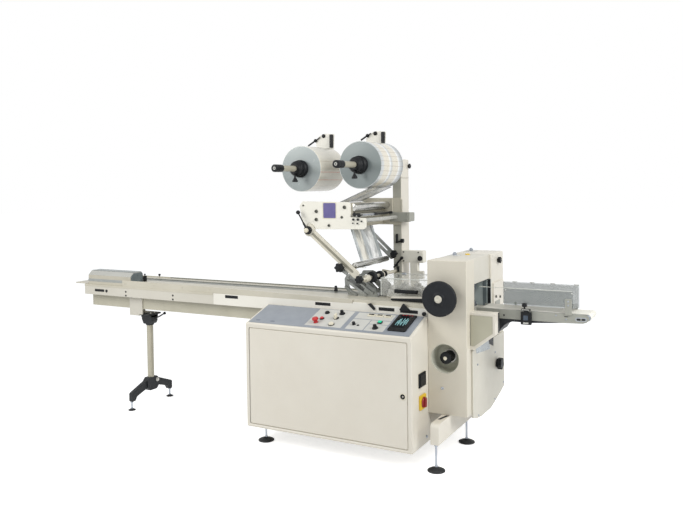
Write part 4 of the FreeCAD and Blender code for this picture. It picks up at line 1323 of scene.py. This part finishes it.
def film(name, x, z, rows, bands, face):
    """Wound film on an axis: rows are angles of print lines, bands a ramp along the axis."""
    made, start = blank(name)
    where = start.node("ShaderNodeTexCoord", out="Object")
    middle = tuple(shop @ Vector((x, film_near, z)))
    spoke = start.node("ShaderNodeVectorMath", {"operation": "SUBTRACT"}, {0: where, 1: middle})
    flat = start.node("ShaderNodeVectorMath", {"operation": "MULTIPLY"}, {0: spoke, 1: (1, 0, 1)})
    reach = start.node("ShaderNodeVectorMath", {"operation": "LENGTH"}, {0: flat}, "Value")
    right = start.node("ShaderNodeSeparateXYZ", {}, {0: spoke}, "X")
    along = start.node("ShaderNodeSeparateXYZ", {}, {0: spoke}, "Y")
    above = start.node("ShaderNodeSeparateXYZ", {}, {0: spoke}, "Z")
    angle = start.maths("ARCTAN2", above, right)
    line_noise = {"noise_dimensions": "1D"}
    turns = start.node("ShaderNodeTexNoise", line_noise, {"W": reach * 500, "Scale": 1.0, "Detail": 1.0})
    # The sweep round the axis paints a light and dark sheen on the wound edge.
    sweep = start.maths("SINE", angle * 2 + 0.7, 0) * 0.3 + 0.5
    winding = start.blend(turns * 0.3 + sweep * 0.7, *face)
    outer_turn = start.stretch(reach, 0.1462, 0.1472)
    winding = start.blend(outer_turn * 0.8, winding, ink(206, 210, 208))
    wrap = start.node("ShaderNodeValToRGB", {"stops": bands}, {0: along * (1000 / film_width)})
    creases = start.node("ShaderNodeMapping", {}, {"Vector": where, "Scale": (8, 60, 8)})
    crease = start.noise(creases, 3.0, 5.0)
    # Creases are darkened: painted shade in the wrap.
    wrap = start.blend(crease * 0.2, wrap, ink(206, 205, 200), blend_type="MULTIPLY")
    fleck = start.stretch(
        start.node("ShaderNodeTexVoronoi", {}, {"Vector": where, "Scale": 70.0}), 0.2, 0.12
    )
    wrap = start.blend(fleck * 0.4, wrap, ink(120, 120, 118))
    dashes = start.node("ShaderNodeTexNoise", line_noise, {"W": along * 260, "Scale": 1.0, "Detail": 1.0})
    dashes = start.stretch(dashes, 0.46, 0.54)
    for at, width, print_tone in rows:
        line = start.node("ShaderNodeMath", {"operation": "COMPARE"}, {0: angle, 1: at, 2: width})
        wrap = start.blend(line * dashes * 0.9, wrap, print_tone)
    outside = start.stretch(reach, 0.1490, 0.1494)
    bumps = start.node(
        "ShaderNodeBump", {}, {"Strength": 0.12, "Distance": 0.001, "Height": crease * outside}
    )
    colour = start.blend(outside, winding, wrap)
    start.surface(
        {"Base Color": colour, "Roughness": crease * 0.2 + 0.14, "Normal": bumps, "Metallic": 0.15}
    )
    return made


red_print, brown_print = ink(208, 112, 92), ink(150, 128, 104)
pale, cream_film, silver = ink(222, 218, 206), ink(226, 220, 205), ink(196, 200, 202)
left_bands = [(0, ink(228, 222, 204)), (1, pale), (0.05, pale), (0.5, ink(206, 203, 192)), (0.93, pale)]
right_bands = [
    (0, silver), (1, ink(150, 156, 158)), (0.08, ink(206, 210, 212)), (0.14, cream_film),
    (0.34, cream_film), (0.38, ink(240, 241, 240)), (0.46, silver), (0.52, cream_film), (0.74, cream_film),
    (0.78, ink(240, 241, 240)), (0.86, silver),
]
faces = {
    "left": (ink(160, 167, 166), ink(138, 146, 146)), "right": (ink(138, 146, 145), ink(116, 125, 125))
}
prints = {
    "left": [
        (-0.16, 0.018, red_print), (-0.52, 0.018, red_print), (0.32, 0.01, brown_print),
        (-0.86, 0.01, brown_print),
    ],
    "right": [(a * 0.21 - 0.9, 0.012, brown_print) for a in range(9)],
}


# Reel spindles: a coated tube with a black knurled nose and a bright nut, and a stepped black hub
# that a wing screw locks against the film's core.
def reel(name, x, z, bands):
    body = name + "_reel"
    wound = film(name + "_film", x, z, prints[name], bands, faces[name])
    section = [(40.2, 0), (150, 0), (150, film_width), (40.2, film_width)]
    roll = Work().turned(to_back, (x, film_near, z), section, 128, 1.2, ring=True)
    roll.piece(name + "_wound_film", body, "film", wound, name + "_film_roll")
    core = Work().turned(
        to_back, (x, 0, z), [(19, 140), (19, 384), (39.5, 385), (39.5, 708), (19, 708), (19, 715)], 48, 0.5
    )
    core.piece(name + "_spindle_tube", body, "khaki_tube", khaki, name + "_spindle")
    nose = Work()
    nose.turned(
        to_back,
        (x, 0, z),
        [(13, 61), (21, 61), (24, 64), (24, 84), (22, 86), (22, 90), (24, 92), (24, 139), (21, 142)],
        48,
    )
    nose.turned(
        to_back,
        (x, 0, z),
        [
            (30, 292), (33, 294), (33, 308), (42, 312), (50, 318), (50, 340), (44, 344), (44, 350),
            (57, 354), (57, 376), (54, 379.5),
        ],
        64,
    )
    nose.turned((0, 0, -1), (x, 302, z), [(6, 26), (6, 56), (8, 60), (18, 78), (19, 84), (16, 87)], 28)
    nose.piece(name + "_spindle_hub", body, "black_plastic", black_plastic)
    nut = Work().turned(
        to_back, (x, 0, z), [(5, 60), (9, 60), (10, 61), (10, 66), (5, 66)], 40, 0.3, ring=True
    )
    nut.piece(name + "_spindle_nut", body, "khaki_tube", hood_metal)


reel("left", -932, 1722, left_bands)
reel("right", -497, 1737, right_bands)

# Film head: a thick cream plate in front and one on the column, with the film's idle rollers
# between them on through shafts. Dark screws hold it, and a plain purple label lies on its face.
head_line = [
    (-863, 1511, 14), (-886, 1484, 14), (-868, 1364, 12), (-846, 1343, 16), (-785, 1332, 10),
    (-423, 1338, 10), (-411, 1350, 8), (-411, 1406, 8), (-516, 1412, 3), (-518, 1500, 14),
    (-534, 1505, 12),
]
plate_paint = coating("plate_paint", ink(238, 235, 224), ink(232, 229, 217), (0.36, 0.5), mottle=5)
Work().plate(rounded(head_line), (278, 290), edge=1.6, steps=3).piece(
    "film_head_plate", "machine", "cream_paint", plate_paint, "film_head_near_plate"
)
plate_screws = Work()
for x, z, radius in (
    (-858, 1484, 6), (-761, 1447, 11), (-762, 1395, 11), (-670, 1358, 9), (-558, 1473, 11), (-578, 1411, 8),
):
    screw(plate_screws, to_front, (x, 278, z), radius, radius * 0.9)
plate_screws.piece("film_head_screws", "machine", "steel", dark_screw)
label_back = Work().plate(oblong((-716, 1399), (-615, 1505), 8), (277.2, 279), edge=0.2)
label_back.piece("film_head_label_margin", "machine", "cream_paint", white_plastic)
purple = coating(
    "purple_label", ink(104, 96, 150), ink(88, 82, 136), (0.3, 0.42), mottle=26, grain=900, relief=0.03
)
Work().plate(oblong((-710, 1405), (-621, 1500), 7), (276.6, 278), edge=0.2).piece(
    "film_head_label", "machine", "cream_paint", purple
)
head_knobs = Work()
for x, z, radius in (
    (-495, 1398, 7), (-463, 1398, 8), (-438, 1387, 5), (-467, 1373, 5), (-498, 1375, 4),
):
    head_knobs.turned(
        to_front,
        (x, 278, z),
        [(radius * 0.7, -1), (radius * 0.7, 3), (radius, 4), (radius, 9), (radius * 0.7, 11)],
        24,
    )
for x, z in ((-488, 1429), (-456, 1424)):
    head_knobs.turned(to_front, (x, 290, z), [(5, -30), (5, 6), (11, 8), (12, 11), (12, 18), (9, 21)], 28)
head_knobs.turned(
    to_back,
    (-456, 495, 1424),
    [(7, 0), (9, 2), (9, 40), (7, 42), (7, 218), (9, 220), (9, 258), (7, 260)],
    28,
)
head_knobs.piece("film_head_knobs", "machine", "black_plastic", black_plastic)
Work().bar((-456, 288, 1424), (-456, 789, 1424), 4).piece("film_tracking_rod", "machine", "steel", zinc)
far_plate = Work().plate(oblong((-690, 1340), (-401, 1520), 8), (788, 800), edge=1.5)
for x in (-470, -397):
    far_plate.block((x, x + 8), (784, 789), (1352, 1510), 1)
far_plate.block((-538, -534), (290, 788), (1346, 1498), 0.8)
far_plate.block((-534, -516), (290, 788), (1346, 1350), 0.8).block(
    (-534, -516), (290, 788), (1494, 1498), 0.8
)
far_plate.block((-536, -508), (294, 298), (1410, 1497), 0.8)
far_plate.piece("film_head_back_plate", "machine", "cream_paint", beige_shade_paint, "film_head_far_plate")
grip = Work().block((-476, -330), (768, 800), (1360, 1424), 5, 3)
grip.block((-398, -332), (800, 860), (1362, 1422), 4, 3)
for z in (1376, 1408):
    screw(grip, to_front, (-350, 768, z), 6)
grip.piece("column_grip", "machine", "aluminium", side_paint)

bright_steel = coating(
    "bright_steel",
    ink(198, 197, 192),
    ink(172, 173, 170),
    (0.14, 0.26),
    mottle=20,
    grain=1600,
    relief=0.03,
    Metallic=0.9,
)
idlers = Work()
for x, z, radius in ((-503, 1472, 24), (-503, 1421, 14), (-660, 1478, 20), (-560, 1362, 18)):
    idlers.turned(
        to_back,
        (x, 0, z),
        [
            (6, 290), (6, 294), (radius - 3, 295), (radius, 297), (radius, 781), (radius - 3, 783),
            (6, 784), (6, 788),
        ],
        48,
    )
idlers.turned(to_back, (-424, 0, 1393), [(10, 290), (10, 768)], 32)
idlers.piece("film_idlers", "machine", "bright_steel", bright_steel, "guide_rollers")
Work().turned(to_back, (-424, 0, 1393), [(10.2, 300), (12.5, 301), (12.5, 757), (10.2, 758)], 40).piece(
    "tie_bar_sleeve", "machine", "aluminium", hood_metal
)

# Film webs: the right reel's film runs down to the head, over its rollers, and on to the former. It
# is thin, half clear and creased lengthwise, with printed bands along it.
web_film, start = blank("web_film")
where = start.node("ShaderNodeTexCoord", out="Object")
along = start.node("ShaderNodeSeparateXYZ", {}, {0: where}, "Y")
share = start.stretch(along, *((shop @ Vector((0, edge, 0))).y for edge in (385, 705)))
web_bands = [
    (0, ink(186, 192, 193)), (1, ink(196, 202, 202)), (0.1, ink(200, 206, 206)),
    (0.13, ink(240, 236, 222)), (0.36, ink(236, 231, 216)), (0.39, ink(196, 202, 203)),
    (0.56, ink(212, 216, 216)), (0.59, ink(252, 252, 250)), (0.84, ink(252, 252, 250)),
    (0.88, ink(176, 183, 184)),
]
tone = start.node("ShaderNodeValToRGB", {"stops": web_bands}, {0: share})
lengthwise = start.node("ShaderNodeMapping", {}, {"Vector": where, "Scale": (5, 26, 5)})
crease = start.noise(lengthwise, 1.6, 5.0, Distortion=0.8)
mark = start.stretch(start.node("ShaderNodeTexVoronoi", {}, {"Vector": where, "Scale": 46.0}), 0.16, 0.1)
tone = start.blend(mark * 0.3, tone, ink(140, 140, 138))
# Folds are drawn darker grey: painted shade in the creases.
fold = start.stretch(crease, 0.5, 0.62)
tone = start.blend(fold * 0.65, tone, ink(128, 135, 137))
bumps = start.node("ShaderNodeBump", {}, {"Strength": 0.5, "Distance": 0.004, "Height": crease})
start.surface(
    {"Base Color": tone, "Roughness": fold * 0.2 + 0.12, "Alpha": fold * 0.3 + 0.6, "Normal": bumps}
)
dress(web_film, "film_webs", edge=0)


# Folding arms: two flat bars with a milled groove that carry the forming section. Star knobs lock
# them, and the crank on the near arm's pivot swings the whole section up.
def strip(work, start_at, end_at, half, span, radius=None, edge=1.2, slot=None):
    """A flat bar between two points of the front view, its ends rounded, with a milled slot."""
    a, b = Vector(start_at), Vector(end_at)
    run = (b - a).normalized()
    side_step = Vector((-run.y, run.x)) * half
    radius = half * 0.98 if radius is None else radius
    reach = run * (half if radius > half * 0.9 else 0)
    corners = [a - reach + side_step, a - reach - side_step, b + reach - side_step, b + reach + side_step]
    holes = []
    if slot:
        low, high, narrow = slot
        thin = Vector((-run.y, run.x)) * narrow
        first, last = a.lerp(b, low), a.lerp(b, high)
        holes = [
            rounded([(*c, narrow * 0.9) for c in (first + thin, first - thin, last - thin, last + thin)])
        ]
    return work.plate(rounded([(*c, radius) for c in corners]), span, edge=edge, holes=holes)


arm_paint = coating(
    "arm_paint", ink(214, 209, 194), ink(204, 199, 183), (0.34, 0.48), mottle=7, Metallic=0.1
)
near_arm = Work()
strip(near_arm, (-815, 1331), (-481, 1059), 25, (264, 278), edge=2)
near_arm.turned(
    to_front, (-812, 278, 1327), [(40, -1), (40, 8), (36, 11), (33, 11), (33, 14), (28, 16)], 56
)
near_arm.piece("near_arm", "machine", "aluminium", arm_paint, "folding_arms")
# The groove is a darker strip on the arm's face: painted shade for its hollow.
groove = coating("arm_groove", ink(146, 142, 126), ink(128, 125, 111), (0.4, 0.55), mottle=9)
strip(Work(), (-780, 1302.5), (-502, 1076), 8, (263.2, 264.6), edge=0.3).piece(
    "near_arm_groove", "machine", "aluminium", groove
)
link_steel = coating(
    "link_steel",
    ink(160, 162, 157),
    ink(88, 91, 89),
    (0.2, 0.42),
    mottle=9,
    grain=1200,
    relief=0.08,
    Metallic=0.55,
)
links = Work()
strip(links, (-556, 1112), (-436, 1021), 19, (266, 277), 9, 1.2, (0.45, 0.86, 5))
strip(links, (-690, 1335), (-452, 1121), 25, (772, 788), 10, 1.5, (0.2, 0.8, 6))
links.plate(
    rounded([(-600, 1082, 10), (-572, 1122, 8), (-520, 1080, 8), (-548, 1050, 10)]), (268, 277.5), edge=1
)
links.turned(to_front, (-580, 268, 1100), [(17, -1), (17, 8), (13, 10), (13, 16)], 32)
links.piece("arm_links", "machine", "steel", link_steel)
arm_knobs = Work()
for x, z, radius in ((-580, 1099, 31), (-442, 1031, 27)):
    star(arm_knobs, to_front, (x, 262, z), radius, 10, 36, 6)
    arm_knobs.turned(to_front, (x, 262, z), [(13, -4), (13, 12)], 24)
    arm_knobs.turned(to_front, (x, 262, z), [(14, 35), (14, 38), (10, 40)], 24)
star(arm_knobs, to_front, (-442, 772, 1146), 26, 4, 26, 6)
arm_knobs.turned(to_front, (-452, 772, 1136), [(22, 0), (22, 5), (14, 6)], 28)
arm_knobs.piece("arm_star_knobs", "machine", "black_plastic", black_plastic)
crank = Work().turned(
    to_front, (-812, 261, 1327), [(26, 0.5), (26, 14), (22, 19), (12, 20), (12, 24)], 40, 0.6
)
crank.bar((-812, 246, 1327), (-874, 246, 1433), 4.5).turned(
    to_front, (-878, 246, 1441), [(5, -12), (11, -9), (13, -3), (13, 3), (11, 9), (5, 12)], 28
)
crank.bar((-818, 246, 1337), (-838, 246, 1372), 6.5)
crank.piece("crank_arm", "crank_lever", "black_plastic", black_plastic, "crank_lever")
Work().turned(to_front, (-814, 240, 1327), [(13, -3), (15, -1), (15, 8), (13, 11), (6, 12)], 40).piece(
    "crank_cap", "crank_lever", "aluminium", white_plastic
)

# Forming section: polished side plates with a folded shoe between them that turns the flat film
# into a tube, and two wheels on one shaft that press the film's edges together.
former = Work()
side_line = [
    (-613, 1040, 8), (-630, 1010, 12), (-627, 960, 20), (-602, 905, 0), (-392, 905, 0), (-410, 960, 12),
    (-475, 1018, 14), (-540, 1044, 10),
]
window = rounded(
    [(-596, 1014, 8), (-604, 985, 10), (-584, 935, 8), (-500, 925, 8), (-470, 985, 10), (-540, 1020, 8)]
)
for near_at in (400, 630):
    former.plate(rounded(side_line), (near_at, near_at + 5), edge=1, holes=[window])
for start_at, end_at, half in (
    ((-618, 1000), (-470, 912), 8), ((-590, 1034), (-424, 925), 6), ((-626, 962), (-540, 908), 7),
    ((-548, 1040), (-404, 948), 5),
):
    strip(former, start_at, end_at, half, (392, 399.5), 3, 1)
former.block((-612, -400), (402, 633), (905, 909), 0.5)
former.plate([(-618, 1005), (-612, 1010), (-500, 916), (-506, 911)], (405, 630), edge=0.5)
former.plate([(-556, 1034), (-550, 1038), (-430, 926), (-436, 922)], (410, 515), edge=0.5)
former.plate([(-556, 1034), (-550, 1038), (-430, 926), (-436, 922)], (550, 625), edge=0.5)
for x, z in ((-600, 1020), (-424, 935), (-560, 920)):
    screw(former, to_front, (x, 400, z), 6)
former.piece("forming_shoe", "machine", "steel", link_steel, "forming_plates")
bright_roller = Work().turned(
    to_back, (-498, 0, 1110), [(8, 278), (8, 292), (20, 293), (20, 758), (8, 759), (8, 772)], 48, 0.5
)
bright_roller.block((-585, -425), (300, 306), (1096, 1101), 1)
bright_roller.piece("bright_roller", "machine", "bright_steel", bright_steel, "forming_rollers")
shaft_at = (-442, 0, 1027)
shaft = Work().turned(
    to_back,
    shaft_at,
    [(9, 258), (9, 322), (19, 323), (22, 326), (22, 362), (19, 366), (12, 367), (12, 403)],
    40,
)
shaft.turned(to_back, shaft_at, [(12, 430), (16, 433), (16, 470), (12, 473), (12, 522)], 40)
shaft.turned(
    to_back,
    shaft_at,
    [(12, 544), (20, 545), (25, 548), (25, 560), (20, 563), (12, 564), (12, 740), (8, 741), (8, 812)],
    40,
)
shaft.piece("wheel_shaft", "machine", "bright_steel", arm_paint)
wheels = Work()
wheels.turned(
    to_back, shaft_at, [(18, 400), (30, 401), (35, 405), (35, 430), (30, 434), (18, 435)], 56, 0.6
)
wheels.turned(
    to_back, shaft_at, [(14, 518), (24, 519), (28, 523), (28, 541), (24, 545), (14, 546)], 56, 0.6
)
wheels.turned(to_back, shaft_at, [(15, 590), (22, 591), (22, 604), (15, 605)], 40, 0.6)
wheels.piece("film_wheels", "machine", "black_plastic", wheel_black)

# Fin seal unit: heated bars with rollers on them each side of the film tube, under a folded clear
# cover that lifts on two hinge barrels at its back. Its cut edges look paler than the sheet.
bars = Work()
for low, high in ((425, 500), (586, 640)):
    centre, radius = (low + high) / 2, (high - low) / 2 - 3
    bars.block((-345, -25), (low, high), (905, 928), 2)
    bars.block((-338, -32), (low + 6, high - 6), (928, 954), 2)
    for x in (-300, -212, -124, -58):
        bars.turned(
            upright,
            (x, centre, 0),
            [(8, 953), (8, 958), (radius, 958), (radius, 974), (8, 974), (8, 982), (5, 985)],
            36,
            0.5,
        )
    for x in (-330, -256, -168, -90):
        screw(bars, to_front, (x, low, 917), 5)
bars.piece("fin_seal_bars", "machine", "black_metal", alloy, "fin_seal_unit")
clear_sheet = tinted("clear_sheet", ink(240, 240, 234), ink(228, 229, 223), 0.1, 0.08, 0.45)
dress(clear_sheet, "fin_seal_cover", edge=1.2)
dress(black_plastic, "cover_handle", edge=3.5, steps=3)
cover_screws = Work()
for x in (-262, -128):
    screw(cover_screws, to_back, (x, 405, 953), 5)
for x in (-340, -60):
    cover_screws.turned(to_right, (x, 662, 1025), [(9.5, 0), (9.5, 26)], 28, 0.6)
cover_screws.piece("cover_fixings", "fin_seal_cover", "steel", zinc)
cut_edge = coating("cut_plastic_edge", ink(224, 226, 220), ink(196, 199, 193), (0.2, 0.4), mottle=30)
edges = Work().block((-374.4, -367), (399.2, 402), (917.5, 1028), 0).block(
    (-373, -11), (399.2, 401.6), (1023, 1029.4), 0
)
edges.block((-374.3, -372.5), (401, 659), (1026, 1029.3), 0).block(
    (-373, -11), (657.5, 659.6), (1027, 1029.3), 0
)
edges.block((-12, -9.7), (401, 659), (1026, 1029.3), 0)
edges.piece("cover_cut_edges", "fin_seal_cover", "clear_guard", cut_edge)
near_rails = Work().plate([(-262, 908), (-24, 902), (-24, 930), (-262, 918)], (302, 342), edge=1.5)
near_rails.plate(
    rounded([(-388, 884, 2), (-368, 893, 3), (-338, 862, 3), (-346, 848, 3)]), (240, 250), edge=2
)
near_rails.plate(rounded([(-152, 905, 4), (-178, 862, 4), (-104, 860, 4)]), (236, 250), edge=2.5)
near_rails.turned(to_front, (-19, 250, 851), [(8, -1), (8, 4), (12, 6), (12, 16), (9, 19)], 28)
near_rails.piece("channel_levers", "machine", "black_plastic", black_plastic)
Work().plate([(-262, 918), (-24, 930), (-24, 938), (-262, 928)], (308, 340), edge=1).block(
    (-262, -24), (342, 372), (905, 914), 1.5
).piece("near_guide_rail", "machine", "cream_paint", cream_paint)

# Side box on the column: a small painted box on a post from the deck, with a black knob.
box_work = Work().block((-401, -250), (800, 860), (1085, 1166), 4, 3).block(
    (-345, -292), (800, 840), (804, 1086), 2
)
box_work.block((-292, -252), (800, 830), (979, 1031), 2)
box_work.piece("side_box_shell", "machine", "cream_paint", plate_paint, "column_side_box")
Work().turned(
    to_front, (-268, 800, 1116), [(9, -1), (9, 4), (15, 5), (17, 8), (17, 15), (14, 18)], 32
).piece("side_box_knob", "machine", "black_plastic", black_plastic)
screw_row = Work()
for x, z in ((-390, 1096), (-390, 1155), (-284, 1155)):
    screw(screw_row, to_front, (x, 800, z), 5)
screw_row.piece("side_box_screws", "machine", "steel", dark_screw)
